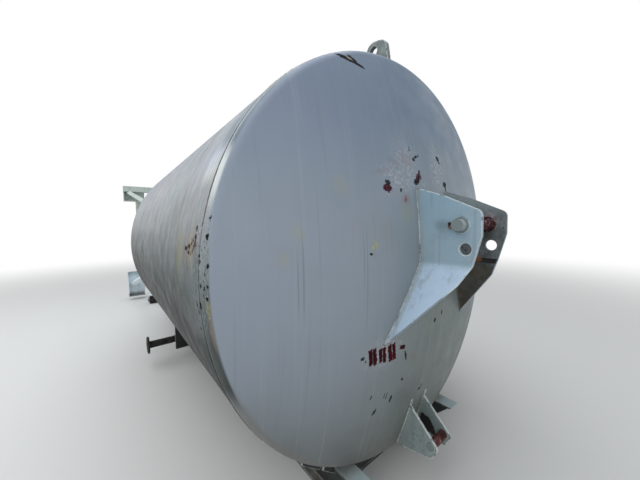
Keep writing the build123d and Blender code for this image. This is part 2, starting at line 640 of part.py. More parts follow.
# Posts that stand on the rails and carry the lower beam
with BuildPart() as rail_post_left:
    with BuildSketch(level(RAIL_H)):
        with Locations((-RAIL_MIDDLE, BEAM_Y)):
            Rectangle(POST_W, POST_W)
            Rectangle(POST_W - 2 * POST_T, POST_W - 2 * POST_T, mode=Mode.SUBTRACT)
    extrude(amount=AXIS_Z - LEG_MIDDLE - BEAM_W / 2 - RAIL_H)
save(rail_post_left, "rail_post_left")
mirrored(rail_post_left, "rail_post_right")

# Rear rollers outside the rails: a bracket with two cheeks and an axle, and a roller that turns on it
cheek_inner_x = RAIL_OUTER / 2 + CHEEK_RAIL_GAP
roller_inner_x = cheek_inner_x + CHEEK_T + CHEEK_SIDE_GAP
roller_outer_x = roller_inner_x + ROLLER_LEN
cheek_outer_x = roller_outer_x + CHEEK_SIDE_GAP
bracket_top_z = 2 * ROLLER_R + BRACKET_TOP_GAP
with BuildPart() as roller_bracket_left:
    for cheek_x in (-cheek_inner_x, -cheek_outer_x):
        with BuildSketch(along(cheek_x)):
            with BuildLine():
                Polyline(
                    (ROLLER_Y - ROLLER_R, bracket_top_z - AXIS_Z),
                    (ROLLER_Y + ROLLER_R, bracket_top_z - AXIS_Z),
                    (ROLLER_Y + AXLE_R + CHEEK_AXLE_LAP, CHEEK_GROUND - AXIS_Z),
                    (ROLLER_Y - AXLE_R - CHEEK_AXLE_LAP, CHEEK_GROUND - AXIS_Z),
                    close=True,
                )
            make_face()
        extrude(amount=-CHEEK_T)
    with BuildSketch(level(bracket_top_z)):
        with Locations((-(cheek_outer_x + CHEEK_T + RAIL_MIDDLE + RAIL_WEB_T / 2 + SEAT) / 2, ROLLER_Y)):
            Rectangle(cheek_outer_x + CHEEK_T - RAIL_MIDDLE - RAIL_WEB_T / 2 - SEAT, 2 * ROLLER_R)
    extrude(amount=CHEEK_T)
    with BuildSketch(along(-cheek_inner_x)):
        with Locations((ROLLER_Y, ROLLER_R - AXIS_Z)):
            Circle(AXLE_R)
    extrude(amount=-(cheek_outer_x + CHEEK_T + AXLE_STUB - cheek_inner_x))
save(roller_bracket_left, "roller_bracket_left")
mirrored(roller_bracket_left, "roller_bracket_right")

with BuildPart() as roller_left:
    with BuildSketch(along(-roller_outer_x)):
        with Locations((ROLLER_Y, ROLLER_R - AXIS_Z)):
            Circle(ROLLER_R)
            Circle(AXLE_R + ROLLER_RUN, mode=Mode.SUBTRACT)
    extrude(amount=ROLLER_LEN)
save(roller_left, "roller_left")
mirrored(roller_left, "roller_right")

# Filling pipe: a flanged stub behind the middle saddle, bent up into the shell
pipe_y = SADDLE_MIDDLE_Y + SADDLE_T + PIPE_SADDLE_GAP + PIPE_R
with BuildPart() as fill_pipe:
    pipe_plane = across(pipe_y)
    with BuildLine(pipe_plane) as route:
        FilletPolyline(
            (PIPE_FACE_X, PIPE_Z),
            (PIPE_DROP_X, PIPE_Z),
            (PIPE_DROP_X, PIPE_Z + PIPE_RISE),
            radius=PIPE_BEND_R,
        )
    with BuildSketch(along(PIPE_FACE_X)):
        with Locations((pipe_y, PIPE_Z)):
            Circle(PIPE_R)
            Circle(PIPE_R - PIPE_T, mode=Mode.SUBTRACT)
    sweep(path=route.line)
    with BuildSketch(along(PIPE_FACE_X)):
        with Locations((pipe_y, PIPE_Z)):
            Circle(PIPE_FLANGE_R)
            Circle(PIPE_R - PIPE_T, mode=Mode.SUBTRACT)
            with PolarLocations(PIPE_PCD / 2, PIPE_BOLTS, start_angle=180 / PIPE_BOLTS):
                Circle(PIPE_BOLT_R, mode=Mode.SUBTRACT)
    extrude(amount=PIPE_FLANGE_T)
    add(vessel_outside, mode=Mode.SUBTRACT)
save(fill_pipe, "fill_pipe")
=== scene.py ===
import json
import math

import bmesh
import bpy
from mathutils import Matrix, Vector, noise


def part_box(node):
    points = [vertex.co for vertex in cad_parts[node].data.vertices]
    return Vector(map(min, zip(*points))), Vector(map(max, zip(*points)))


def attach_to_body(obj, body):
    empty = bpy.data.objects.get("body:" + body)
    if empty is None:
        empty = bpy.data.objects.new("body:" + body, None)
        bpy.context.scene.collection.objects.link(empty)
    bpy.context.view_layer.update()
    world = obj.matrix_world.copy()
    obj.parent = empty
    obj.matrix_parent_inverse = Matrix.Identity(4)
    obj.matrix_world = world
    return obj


# Looks of the mobile lime silo, in metres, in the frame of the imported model.
# Places on the silo are given as metres across, metres over its axis and metres behind FRONT_Y.

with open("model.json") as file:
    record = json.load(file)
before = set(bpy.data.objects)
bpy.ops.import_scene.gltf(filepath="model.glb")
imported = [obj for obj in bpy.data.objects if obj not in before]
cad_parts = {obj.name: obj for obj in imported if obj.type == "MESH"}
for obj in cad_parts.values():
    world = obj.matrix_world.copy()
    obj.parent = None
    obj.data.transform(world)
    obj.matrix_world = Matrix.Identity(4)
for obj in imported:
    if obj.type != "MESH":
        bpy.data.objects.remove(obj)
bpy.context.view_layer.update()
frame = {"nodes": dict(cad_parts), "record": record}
nodes = frame["nodes"]

# The silo's own lines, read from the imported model
head_low, head_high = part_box("dished_head")
SHELL_R = head_high.x
AXIS_Z = (head_low.z + head_high.z) / 2
SEAM_Y = head_high.y
FRONT_Y = SEAM_Y - 0.060            # line just in front of the girth seam
HEAD_SKIRT = 0.049                  # straight edge of the head before the seam
SHELL_END_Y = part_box("shell_plate_1")[1].y
CONE_TOP_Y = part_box("cone_plate_1")[0].y
CONE_END_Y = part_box("cone_plate_1")[1].y
OUTLET_R = 0.162                    # outside of the outlet spigot
HEAD_RISE = SEAM_Y - HEAD_SKIRT - head_low.y
CROWN_R = (SHELL_R ** 2 + HEAD_RISE ** 2) / (2 * HEAD_RISE)
CROWN_Y = head_low.y + CROWN_R
RAIL_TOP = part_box("rail_left")[1].z

# Pick-up bracket and clevis
HOOK_GAP_HALF = 0.150               # inner face of a bracket plate, from the middle plane
HOOK_OUTER = 0.165
HOOK_TOP = 0.413                    # heights over the axis: top, fold and lowest point
HOOK_FOLD = 0.017
HOOK_HEEL = -0.385
HOOK_LEAN = math.tan(math.radians(32.6))
BAR_MIDDLE = (-0.418, 0.210)        # behind FRONT_Y, over the axis
CLEVIS_GAP_HALF = 0.069
CLEVIS_OUTER = 0.081
FACE_GAP = 0.0005                   # from a plate's face to the middle of its weld bead
HEAD_GAP = 0.001                    # from the head's face to the middle of a weld bead

# Marks on the head: (across, over the axis, half width, half height, turn in degrees)
RED_KNOCKS = (
    (-0.383, 0.396, 0.029, 0.021, 0),
    (-0.128, 0.471, 0.024, 0.018, -20),
    (-0.146, 0.452, 0.022, 0.014, 0),
    (-0.118, 0.497, 0.009, 0.014, 0),
)
FAINT_RED = (
    (-0.312, 0.530, 0.036, 0.016, 20),
    (-0.257, 0.345, 0.030, 0.026, 0),
    (-0.408, 0.478, 0.045, 0.009, -15),
    (-0.172, -0.512, 0.030, 0.030, 0),
    (-0.215, 0.555, 0.045, 0.030, 30),
)
SCUFFS = (
    (-0.225, 0.535, 0.080, 0.085, 15),
    (-0.300, 0.450, 0.100, 0.060, 15),
    (0.090, 0.540, 0.075, 0.110, 10),
    (-0.098, 0.430, 0.022, 0.022, 0),
    (-0.383, 0.372, 0.034, 0.012, 0),
    (-0.400, -0.420, 0.110, 0.062, 0),
)
RED_BARS = (
    (-0.494, -0.420, 0.012, 0.044, -10),
    (-0.468, -0.422, 0.012, 0.046, -10),
    (-0.430, -0.426, 0.011, 0.038, -10),
    (-0.405, -0.429, 0.011, 0.044, -9),
    (-0.364, -0.432, 0.013, 0.048, -13),
    (-0.336, -0.430, 0.012, 0.048, -13),
    (-0.272, -0.424, 0.022, 0.012, 15),
)
DARK_KNOCKS = (
    (-0.378, 0.424, 0.018, 0.013, 15),
    (-0.157, 0.440, 0.020, 0.014, -20),
    (-0.136, 0.453, 0.010, 0.020, 20),
    (-0.130, 0.580, 0.018, 0.007, -20),
    (-0.152, 0.564, 0.012, 0.009, 0),
    (-0.105, 0.590, 0.007, 0.006, 0),
    (-0.177, 0.618, 0.004, 0.012, 0),
    (-0.289, 0.391, 0.008, 0.010, 20),
    (0.156, 0.452, 0.024, 0.016, -10),
    (0.162, 0.422, 0.008, 0.022, 0),
    (0.110, 0.604, 0.020, 0.012, 40),
    (0.122, 0.590, 0.007, 0.020, -15),
    (-0.237, -0.482, 0.007, 0.034, -20),
    (-0.545, -0.411, 0.012, 0.010, 0),
    (-0.523, -0.432, 0.004, 0.008, 0),
    (-0.512, 0.083, 0.008, 0.006, 0),
    (0.020, -0.344, 0.012, 0.014, 0),
    (0.098, -0.314, 0.008, 0.016, -15),
    (-0.233, -0.627, 0.012, 0.009, 30),
    (-0.023, -0.776, 0.014, 0.008, 0),
    (-0.006, -0.762, 0.006, 0.014, 20),
    (-0.303, -0.721, 0.009, 0.022, 12),
    (-0.342, -0.688, 0.004, 0.022, 10),
    (-0.360, -0.680, 0.003, 0.016, 8),
    (-0.413, -0.755, 0.009, 0.020, 28),
    (-0.458, -0.652, 0.005, 0.014, 20),
)
TOP_SCRATCH = (
    (-0.500, 1.038, 0.056, 0.011, 8),
    (-0.430, 1.026, 0.050, 0.009, 14),
    (-0.455, 1.050, 0.030, 0.008, 24),
)
GREEN_STAINS = (
    (-0.651, 0.393, 0.034, 0.040, 0),
    (-0.860, 0.196, 0.028, 0.032, 0),
    (-0.925, 0.089, 0.026, 0.026, 0),
    (-0.256, 0.285, 0.040, 0.055, 0),
)
YELLOW_SCRATCH = (
    (-0.482, 0.132, 0.005, 0.022, -30),
    (-0.498, 0.112, 0.008, 0.010, 0),
)
RUNS = (
    (-0.845, 0.005, 0.004, 0.170, 0),
    (-0.868, -0.020, 0.003, 0.120, 0),
    (-0.535, -0.050, 0.003, 0.240, 0),
    (-0.553, 0.060, 0.003, 0.120, 0),
    (0.420, 0.150, 0.004, 0.220, 0),
    (0.710, -0.100, 0.004, 0.180, 0),
)
STREAKED_PATCH = ((-0.500, 0.165, 0.200, 0.100, 0),)
# Painted shade on the head above the clevis
CLEVIS_SHADE = ((-0.160, -0.740, 0.110, 0.080, 0),)
RED_SPOT = ((-0.257, 0.347, 0.009, 0.018, 10),)
SCRATCH_MIDDLE = ((-0.474, 1.044, 0.018, 0.004, 14),)

# Marks beside the girth seam: (metres round from the top, behind FRONT_Y, half length round, half width)
RIM_CHIPS = (
    (-1.625, 0.009, 0.006, 0.006),
    (-1.650, 0.066, 0.014, 0.005),
    (-1.695, 0.009, 0.011, 0.009),
    (-1.768, 0.058, 0.007, 0.007),
    (-1.788, 0.050, 0.009, 0.009),
    (-1.802, -0.004, 0.009, 0.007),
    (-1.875, 0.041, 0.011, 0.008),
    (-1.885, 0.016, 0.010, 0.005),
    (-1.876, -0.006, 0.006, 0.005),
    (-1.920, 0.000, 0.007, 0.007),
    (-1.962, 0.103, 0.011, 0.008),
    (-1.953, 0.055, 0.014, 0.012),
    (-1.984, 0.088, 0.006, 0.008),
    (-2.055, 0.105, 0.006, 0.007),
)
SHELL_CHIPS = (
    (-1.667, 0.133, 0.012, 0.012),
    (-1.700, 0.134, 0.016, 0.013),
    (-1.729, 0.132, 0.014, 0.014),
    (-1.741, 0.219, 0.011, 0.020),
    (-1.750, 0.267, 0.010, 0.026),
    (-1.766, 0.225, 0.008, 0.018),
    (-1.712, 0.160, 0.011, 0.006),
    (-1.723, 0.182, 0.012, 0.009),
    (-1.740, 0.150, 0.014, 0.007),
    (-1.756, 0.164, 0.012, 0.007),
    (-1.771, 0.190, 0.010, 0.008),
)
ORANGE_RUNS = (
    (-1.740, 0.205, 0.050, 0.030),
    (-1.760, 0.280, 0.060, 0.014),
    (-1.790, 0.170, 0.060, 0.016),
)
YELLOW_RUNS = (
    (-1.760, 0.390, 0.070, 0.044),
    (-1.800, 0.420, 0.080, 0.020),
)
OLIVE_RUN = ((-1.960, -0.002, 0.034, 0.012),)
OCHRE_RUN = ((-2.050, -0.005, 0.070, 0.011),)

# Tones of the vessel's side, partly painted light: (turn from the top where a tone starts, turn where it is
# whole, colour)
# The first tone is the shoulder's painted highlight; the darker ones are grime and painted shade.
FLANK_TONES_AND_SHADE = (
    (0.86, 1.14, "90979c"),
    (1.20, 1.36, "808689"),
    (1.34, 1.52, "5b6466"),
    (1.50, 1.66, "434a4b"),
    (1.64, 1.82, "343939"),
)

# Marks on the bracket and clevis plates: (y, z, half length, half height, turn in degrees)
PLATE_SMEAR = ((FRONT_Y - 0.323, AXIS_Z + 0.212, 0.032, 0.024, -20),)
FOLD_SCAB = ((FRONT_Y - 0.372, AXIS_Z + HOOK_FOLD, 0.022, 0.014, 0),)
BAR_GRIME = ((FRONT_Y - 0.405, AXIS_Z + 0.165, 0.050, 0.075, 0),)
BAR_HALO = ((FRONT_Y - 0.425, AXIS_Z + 0.226, 0.046, 0.040, 0),)
# Painted shade on the inner face of a clevis plate.
CLEVIS_INNER_SHADE = ((FRONT_Y - 0.125, AXIS_Z - 1.045, 0.070, 0.040, -35),)


# Materials

def colour(code):
    """A colour written as rrggbb, as Blender's linear RGBA."""
    out = []
    for i in (0, 2, 4):
        c = int(code[i:i + 2], 16) / 255
        out.append(c / 12.92 if c <= 0.04045 else ((c + 0.055) / 1.055) ** 2.4)
    return (*out, 1.0)


class Shader:
    """One material, built from short calls. Every call returns a socket that the next one can take."""

    def __init__(self, name, **fixed):
        self.material = bpy.data.materials.new(name)
        self.material.use_nodes = True
        self.tree = self.material.node_tree
        self.bsdf = next(n for n in self.tree.nodes if n.type == "BSDF_PRINCIPLED")
        for socket, value in fixed.items():
            self.bsdf.inputs[socket.replace("_", " ")].default_value = value
        coordinates = self.tree.nodes.new("ShaderNodeTexCoord")
        self.place = coordinates.outputs["Object"]
        self.x, self.y, self.z = self.split(self.place)
        self.facing_x, self.facing_y, self.facing_z = self.split(coordinates.outputs["Normal"])

    def node(self, kind, inputs=None, **settings):
        made = self.tree.nodes.new(kind)
        for key, value in settings.items():
            setattr(made, key, value)
        for key, value in (inputs or {}).items():
            if isinstance(value, bpy.types.NodeSocket):
                self.tree.links.new(value, made.inputs[key])
            else:
                made.inputs[key].default_value = value
        return made

    def split(self, vector):
        return self.node("ShaderNodeSeparateXYZ", {0: vector}).outputs

    def join(self, x, y, z=0.0):
        return self.node("ShaderNodeCombineXYZ", {0: x, 1: y, 2: z}).outputs[0]

    def math(self, operation, a, b=0.0, c=0.0):
        return self.node("ShaderNodeMath", {0: a, 1: b, 2: c}, operation=operation).outputs[0]

    def vectors(self, operation, a, b=(0.0, 0.0, 0.0), c=(0.0, 0.0, 0.0)):
        outputs = self.node("ShaderNodeVectorMath", {0: a, 1: b, 2: c}, operation=operation).outputs
        return outputs["Value"] if operation in ("LENGTH", "DOT_PRODUCT") else outputs["Vector"]

    def times(self, *values):
        out = values[0]
        for v in values[1:]:
            out = self.math("MULTIPLY", out, v)
        return out

    def highest(self, *values):
        out = values[0]
        for v in values[1:]:
            out = self.math("MAXIMUM", out, v)
        return out

    def ramp(self, value, start, end, low=0.0, high=1.0):
        """low where value is at start, high where it is at end, smooth between, in either direction."""
        if start > end:
            start, end, low, high = end, start, high, low
        inputs = {0: value, 1: start, 2: end, 3: low, 4: high}
        return self.node("ShaderNodeMapRange", inputs, interpolation_type="SMOOTHSTEP").outputs[0]

    def mix(self, amount, a, b):
        """a where amount is 0, b where it is 1. Each is a socket or a colour written as rrggbb."""
        inputs = {0: amount}
        for key, value in ((6, a), (7, b)):
            inputs[key] = colour(value) if isinstance(value, str) else value
        return self.node("ShaderNodeMix", inputs, data_type="RGBA").outputs[2]

    def lay(self, base, tone, *masks):
        """The base with a tone laid over it where every mask is 1. A plain number thins the tone."""
        return self.mix(self.times(*masks), base, tone)

    def stretch(self, vector, sizes):
        return self.vectors("MULTIPLY", vector, sizes)

    def noise(self, vector, scale, detail=3.0, rough=0.55):
        inputs = {"Vector": vector, "Scale": scale, "Detail": detail, "Roughness": rough}
        return self.node("ShaderNodeTexNoise", inputs).outputs["Fac"]

    def specks(self, scale, start, end, low=0.0, high=1.0):
        """Fine ragged specks, from low where the noise is at start to high where it is at end."""
        return self.ramp(self.noise(self.place, scale, 4.0, 0.7), start, end, low, high)

    def gloss(self, scale, low, high):
        """Roughness that varies in clouds between low and high."""
        return self.ramp(self.noise(self.place, scale, 5.0, 0.6), 0.25, 0.75, low, high)

    def warp(self, vector, scale, amount):
        """The vector, moved about by noise, so that edges drawn from it are ragged."""
        inputs = {"Vector": vector, "Scale": scale, "Detail": 4.0, "Roughness": 0.65}
        made = self.node("ShaderNodeTexNoise", inputs)
        moved = self.vectors("SUBTRACT", made.outputs["Color"], (0.5, 0.5, 0.5))
        return self.vectors("MULTIPLY_ADD", moved, (amount,) * 3, vector)

    def reach(self, vector, middle, sizes, turn=0.0, axis=1, square=False):
        """Distance from a mark's middle on vector's plane, 1 at its edge. axis is the plane's normal."""
        def in_plane(first, second):
            out = [first, second]
            out.insert(axis, 0.0)
            return out
        wide, tall = sizes
        if not turn:
            scale = in_plane(1 / wide, 1 / tall)
            shift = in_plane(-middle[0] / wide, -middle[1] / tall)
            return self.vectors("LENGTH", self.vectors("MULTIPLY_ADD", vector, scale, shift))
        off = self.vectors("SUBTRACT", vector, in_plane(*middle))
        cosine, sine = math.cos(math.radians(turn)), math.sin(math.radians(turn))
        across = self.vectors("DOT_PRODUCT", off, in_plane(cosine / wide, -sine / wide))
        along = self.vectors("DOT_PRODUCT", off, in_plane(sine / tall, cosine / tall))
        if square:
            return self.highest(self.math("ABSOLUTE", across), self.math("ABSOLUTE", along))
        return self.vectors("LENGTH", self.join(across, along))

    def spots(self, vector, marks, soft=0.25, axis=1, square=False):
        """A mask that is 1 inside any mark of the list and 0 outside all of them."""
        nearest = None
        for across, along, half_across, half_along, *turn in marks:
            one = self.reach(vector, (across, along), (half_across, half_along), sum(turn), axis, square)
            nearest = one if nearest is None else self.math("MINIMUM", nearest, one)
        return self.ramp(nearest, 1.0 + soft, 1.0 - soft)

    def broken(self, mask, grain, bite=0.9, sharp=0.08):
        """The mask, whole in its middle and eaten away by the grain towards its edge."""
        eaten = self.math("MULTIPLY_ADD", self.math("SUBTRACT", grain, 0.5), bite, mask)
        return self.ramp(eaten, 0.5 - sharp, 0.5 + sharp)

    def edges(self, radius, lean=0.02):
        """1 along the piece's sharp edges, 0 on its flats, and the rounded normal itself."""
        rounded = self.node("ShaderNodeBevel", {"Radius": radius}, samples=6).outputs[0]
        true = self.node("ShaderNodeNewGeometry").outputs["Normal"]
        same = self.vectors("DOT_PRODUCT", rounded, true)
        return self.ramp(same, 1.0 - lean / 4, 1.0 - lean * 4), rounded

    def bump(self, height, distance, strength=1.0, normal=None):
        inputs = {"Height": height, "Distance": distance, "Strength": strength}
        if normal is not None:
            inputs["Normal"] = normal
        return self.node("ShaderNodeBump", inputs).outputs[0]

    def finish(self, base, roughness, normal, specular=None):
        links = self.tree.links
        links.new(base, self.bsdf.inputs["Base Color"])
        if specular is not None:
            links.new(specular, self.bsdf.inputs["Specular IOR Level"])
        links.new(roughness, self.bsdf.inputs["Roughness"])
        links.new(normal, self.bsdf.inputs["Normal"])
        return self.material


class VesselPaint(Shader):
    """A paint of the head or the shell, with the vessel's surface rolled out flat.

    wrapped is metres round from the top, then metres behind FRONT_Y. On the head the second measure
    goes on inwards from the knuckle, so that marks keep their shape there. turn is the angle from the
    top, side is the same on both sides, and broad and patchy are noises at the scales given.
    """

    def __init__(self, name, broad, patchy):
        super().__init__(name)
        self.up = self.math("SUBTRACT", self.z, AXIS_Z)
        self.flat = self.join(self.x, 0.0, self.up)
        self.radius = self.vectors("LENGTH", self.flat)
        self.turn = self.math("ARCTAN2", self.x, self.up)
        from_front = self.math("SUBTRACT", self.y, FRONT_Y)
        self.behind = self.math("ADD", from_front, self.math("SUBTRACT", self.radius, SHELL_R))
        self.wrapped = self.join(self.times(self.turn, SHELL_R), self.behind)
        self.side = self.math("ABSOLUTE", self.turn)
        self.broad = self.noise(self.place, broad, 3.0)
        self.patchy = self.noise(self.place, patchy, 5.0, 0.6)

    def wraps(self, vector, marks, soft):
        """All the marks of a list, on the surface rolled out flat."""
        return self.spots(vector, marks, soft, axis=2)

    def streaks(self, around, along, detail=4.0, rough=0.55):
        """Noise with its own scale round the vessel and along it."""
        return self.noise(self.stretch(self.wrapped, (around, along, 1.0)), 1.0, detail, rough)


class PlatePaint(Shader):
    """A paint of flat plates, which wears off along their edges."""

    def __init__(self, name, edge_radius):
        super().__init__(name, Specular_IOR_Level=0.3)
        self.edge, self.rounded = self.edges(edge_radius)
        self.broad = self.noise(self.place, 2.3, 4.0)
        self.patchy = self.noise(self.place, 9.0, 5.0, 0.65)


def seam_dirt(s, base):
    """Dark line along the girth seam, whole high on the sides and broken lower down."""
    off = s.math("ABSOLUTE", s.math("SUBTRACT", s.y, SEAM_Y))
    whole = s.ramp(s.side, 1.40, 1.34, 0.2, 1.0)
    line = s.times(s.ramp(off, 0.012, 0.006), whole, s.ramp(s.patchy, 0.36, 0.52, 0.3, 1.0))
    return s.lay(base, "4a4e4b", line, 0.9)


def flank_tone_and_shade(s, level):
    """Paint of the vessel's side by its turn from the top: a painted sky reflection at the top, a painted
    highlight on the shoulder, and darker below mid height, partly grime and partly painted shade.
    """
    # The top's own tone is a painted bluish sky reflection.
    base = "6f7c87"
    for start, whole, tone in FLANK_TONES_AND_SHADE:
        base = s.lay(base, tone, s.ramp(level, start, whole))
    return base


def chipped_rim(s, base, grain, bare):
    """Flakes and chips beside the seam: bare steel where the paint is gone, and pale paint beside that."""
    window = s.times(
        s.ramp(s.turn, -1.26, -1.38),
        s.ramp(s.turn, -1.74, -1.66),
        s.ramp(s.behind, 0.18, 0.09),
        s.ramp(s.behind, -0.014, -0.006),
    )
    speckle = s.streaks(50.0, 85.0, rough=0.7)
    flakes = s.times(s.ramp(speckle, 0.60, 0.64), window)
    pale = s.times(s.ramp(speckle, 0.45, 0.38), window)
    base = s.lay(base, "a6ada9", pale, 0.45)
    chips = s.broken(s.wraps(s.warp(s.wrapped, 80.0, 0.035), RIM_CHIPS, 0.6), grain, 0.9)
    lost = s.highest(chips, flakes)
    return s.lay(base, bare, lost), lost


def head_base(s):
    """Palest across the middle, with painted light on the left and painted bluish shade at the top, and
    grey-green and darker low down, partly dirt and partly painted shade.
    """
    # Darker low down: partly dirt and partly painted shade.
    base = s.mix(s.ramp(s.up, -1.18, -0.02), "5e6160", "8a959d")
    # Painted bluish shade at the top.
    base = s.lay(base, "5c7085", s.ramp(s.up, 0.05, 0.95))
    # lilac is painted light on the left of the head.
    lilac = s.times(s.ramp(s.x, 0.2, -1.1), s.ramp(s.up, -1.0, 0.1), 0.42)
    base = s.lay(base, "9097ab", lilac)
    # Darker and greener low on the right: partly dirt and partly painted shade.
    low_right = s.times(s.ramp(s.x, -0.70, 0.20), s.ramp(s.up, 0.5, -0.40))
    base = s.lay(base, "656c64", low_right, 0.85)
    base = s.lay(base, "98a2a8", s.ramp(s.broad, 0.35, 0.7, 0.0, 0.22))
    return s.lay(base, "7c8684", s.ramp(s.patchy, 0.45, 0.75, 0.0, 0.16))


def head_streaks(s, base):
    """Rain streaks, which run straight down the head."""
    fine = s.noise(s.stretch(s.flat, (46.0, 1.0, 0.9)), 1.0, 3.0, 0.6)
    wide = s.noise(s.stretch(s.flat, (11.0, 1.0, 0.45)), 1.0, 3.0, 0.55)
    base = s.lay(base, "a2a9aa", s.ramp(fine, 0.52, 0.72), s.ramp(wide, 0.4, 0.6), 0.22)
    base = s.lay(base, "6c7375", s.ramp(fine, 0.46, 0.3), s.ramp(wide, 0.54, 0.40), 0.32)
    brown = s.times(s.spots(s.flat, STREAKED_PATCH, 0.35), s.ramp(fine, 0.50, 0.66))
    base = s.lay(base, "8c8272", brown, 0.40)
    return s.lay(base, "676c6b", s.spots(s.flat, RUNS, 0.6), 0.42)


def head_stains(s, base):
    """Stains of lime and algae, painted shade above the clevis, and the dirt that gathers low down and along
    the rim.
    """
    ragged = s.warp(s.flat, 22.0, 0.05)
    base = s.lay(base, "9c9a62", s.spots(ragged, GREEN_STAINS, 0.8), 0.20)
    base = s.lay(base, "a5a06a", s.spots(ragged, YELLOW_SCRATCH, 0.5), 0.8)
    # Painted shade on the head above the clevis.
    base = s.lay(base, "56595a", s.spots(ragged, CLEVIS_SHADE, 0.8), 0.35)
    bottom = s.times(s.ramp(s.radius, 1.0, 1.19), s.ramp(s.up, -0.3, -0.9), s.ramp(s.patchy, 0.3, 0.65))
    base = s.lay(base, "5c5e57", bottom, 0.45)
    low_rim = s.times(s.ramp(s.behind, -0.050, -0.010), s.ramp(s.side, 1.85, 2.05))
    return s.lay(base, "706c66", low_rim, 0.6)


def head_skirt(s, base):
    """The straight edge before the seam: toned like the shell's side with its painted reflection and shade,
    a painted highlight along its lip and high on the sides, banded with grime lower down.
    """
    border = s.ramp(s.side, 1.35, 1.50, 0.014, -0.010)
    skirt = s.times(s.ramp(s.math("SUBTRACT", s.behind, border), -0.014, 0.005), s.ramp(s.side, 2.04, 1.90))
    # The shell side's tones, with their painted reflection, highlight and shade.
    tone = flank_tone_and_shade(s, s.math("SUBTRACT", s.side, 0.12))
    # Bluish at the top as a painted sky reflection.
    base = s.lay(base, s.mix(s.ramp(s.side, 1.08, 1.18), "5c6b76", tone), skirt)
    bands = s.streaks(3.0, 120.0, rough=0.65)
    lower = s.times(skirt, s.ramp(s.side, 1.50, 1.62))
    base = s.lay(base, "33332f", lower, s.ramp(bands, 0.50, 0.62), 0.6)
    base = s.lay(base, "85857c", lower, s.ramp(bands, 0.44, 0.34), 0.4)
    # A painted highlight along the lip.
    lip_highlight = s.times(s.ramp(s.behind, 0.036, 0.046), s.ramp(s.side, 0.5, 0.8), s.ramp(s.side, 1.25, 1.15))
    base = s.lay(base, "b4c2c8", lip_highlight, 0.8)
    # A painted highlight high on the skirt's sides.
    skirt_highlight = s.times(skirt, s.ramp(s.side, 1.08, 1.18), s.ramp(s.side, 1.36, 1.24))
    return s.lay(base, "d4dad8", skirt_highlight, 0.8)


def head_rim(s, base):
    """Olive and ochre runs, the seam's dirt, and chips."""
    drawn_out = s.warp(s.wrapped, 40.0, 0.012)
    base = s.lay(base, "8c8760", s.wraps(drawn_out, OLIVE_RUN, 0.5), 0.6)
    base = s.lay(base, "8f7c6c", s.wraps(drawn_out, OCHRE_RUN, 0.6), 0.5)
    base = seam_dirt(s, base)
    return chipped_rim(s, base, s.noise(s.place, 110.0, 3.0, 0.7), "1c1a19")


def red_knocks(s, base, torn, grain):
    """Knocks down to red primer with dark cores, and pale scuffs and faint red round them."""
    coarse = s.noise(s.flat, 55.0, 4.0, 0.7)
    scuffed = s.times(s.spots(torn, SCUFFS, 0.9), s.ramp(coarse, 0.46, 0.62), 0.65)
    base = s.lay(base, "b3b3b4", scuffed)
    faint = s.times(s.spots(torn, FAINT_RED, 0.9), s.ramp(coarse, 0.36, 0.6), 0.42)
    base = s.lay(base, "7c5b5f", faint)
    red = s.broken(s.spots(torn, RED_KNOCKS, 0.8), coarse, 1.4)
    base = s.lay(base, "4a1c2a", red, s.ramp(grain, 0.3, 0.5, 0.75, 1.0))
    base = s.lay(base, "1f1419", red, s.ramp(grain, 0.50, 0.60), 0.85)
    base = s.lay(base, "a59ba0", red, s.ramp(grain, 0.40, 0.32), 0.6)
    return s.lay(base, "7d3a40", s.spots(torn, RED_SPOT, 0.6), 0.8), red


def dark_knocks(s, base, torn, grain):
    """Scraped red bars low on the head, knocks down to dark steel, the scratch at the top, and pits."""
    crisp = s.warp(s.flat, 85.0, 0.020)
    scraped = s.noise(s.stretch(s.flat, (190.0, 1.0, 16.0)), 1.0, 3.0, 0.6)
    bars = s.broken(s.spots(crisp, RED_BARS, 0.5, square=True), scraped, 1.3)
    base = s.lay(base, s.mix(s.ramp(scraped, 0.44, 0.62), "1c080b", "561a22"), bars)
    dark = s.broken(s.spots(crisp, DARK_KNOCKS, 0.5), grain, 0.9)
    base = s.lay(base, "232325", dark, 0.92)
    scratch = s.broken(s.spots(crisp, TOP_SCRATCH, 0.4), grain, 0.5)
    base = s.lay(base, "242628", scratch)
    base = s.lay(base, "8d8078", s.spots(torn, SCRATCH_MIDDLE, 0.4))
    pits = s.times(s.ramp(s.noise(s.flat, 30.0, 2.0), 0.74, 0.77), s.ramp(s.broad, 0.5, 0.6), 0.6)
    return s.lay(base, "4a443e", pits), s.highest(bars, dark, scratch)


def head_paint():
    """Grey-white paint of the dished head: rain streaks, stains, and knocks down to primer and steel."""
    s = VesselPaint("head_paint", broad=0.9, patchy=4.0)
    base = head_streaks(s, head_base(s))
    base = head_stains(s, base)
    base = head_skirt(s, base)
    base, chips = head_rim(s, base)
    grain = s.noise(s.flat, 120.0, 3.0, 0.7)
    torn = s.warp(s.flat, 75.0, 0.030)
    base, red = red_knocks(s, base, torn, grain)
    base, dark = dark_knocks(s, base, torn, grain)

    lost = s.highest(red, dark, chips)
    roughness = s.gloss(7.0, 0.38, 0.58)
    roughness = s.math("ADD", roughness, s.times(lost, 0.25))
    height = s.math("MULTIPLY_ADD", s.noise(s.place, 160.0, 2.0), 0.012, s.noise(s.place, 2.2, 2.0))
    height = s.math("SUBTRACT", height, s.times(lost, 0.04))
    return s.finish(base, roughness, s.bump(height, 0.02, 0.5), s.ramp(lost, 0.0, 1.0, 0.30, 0.05))


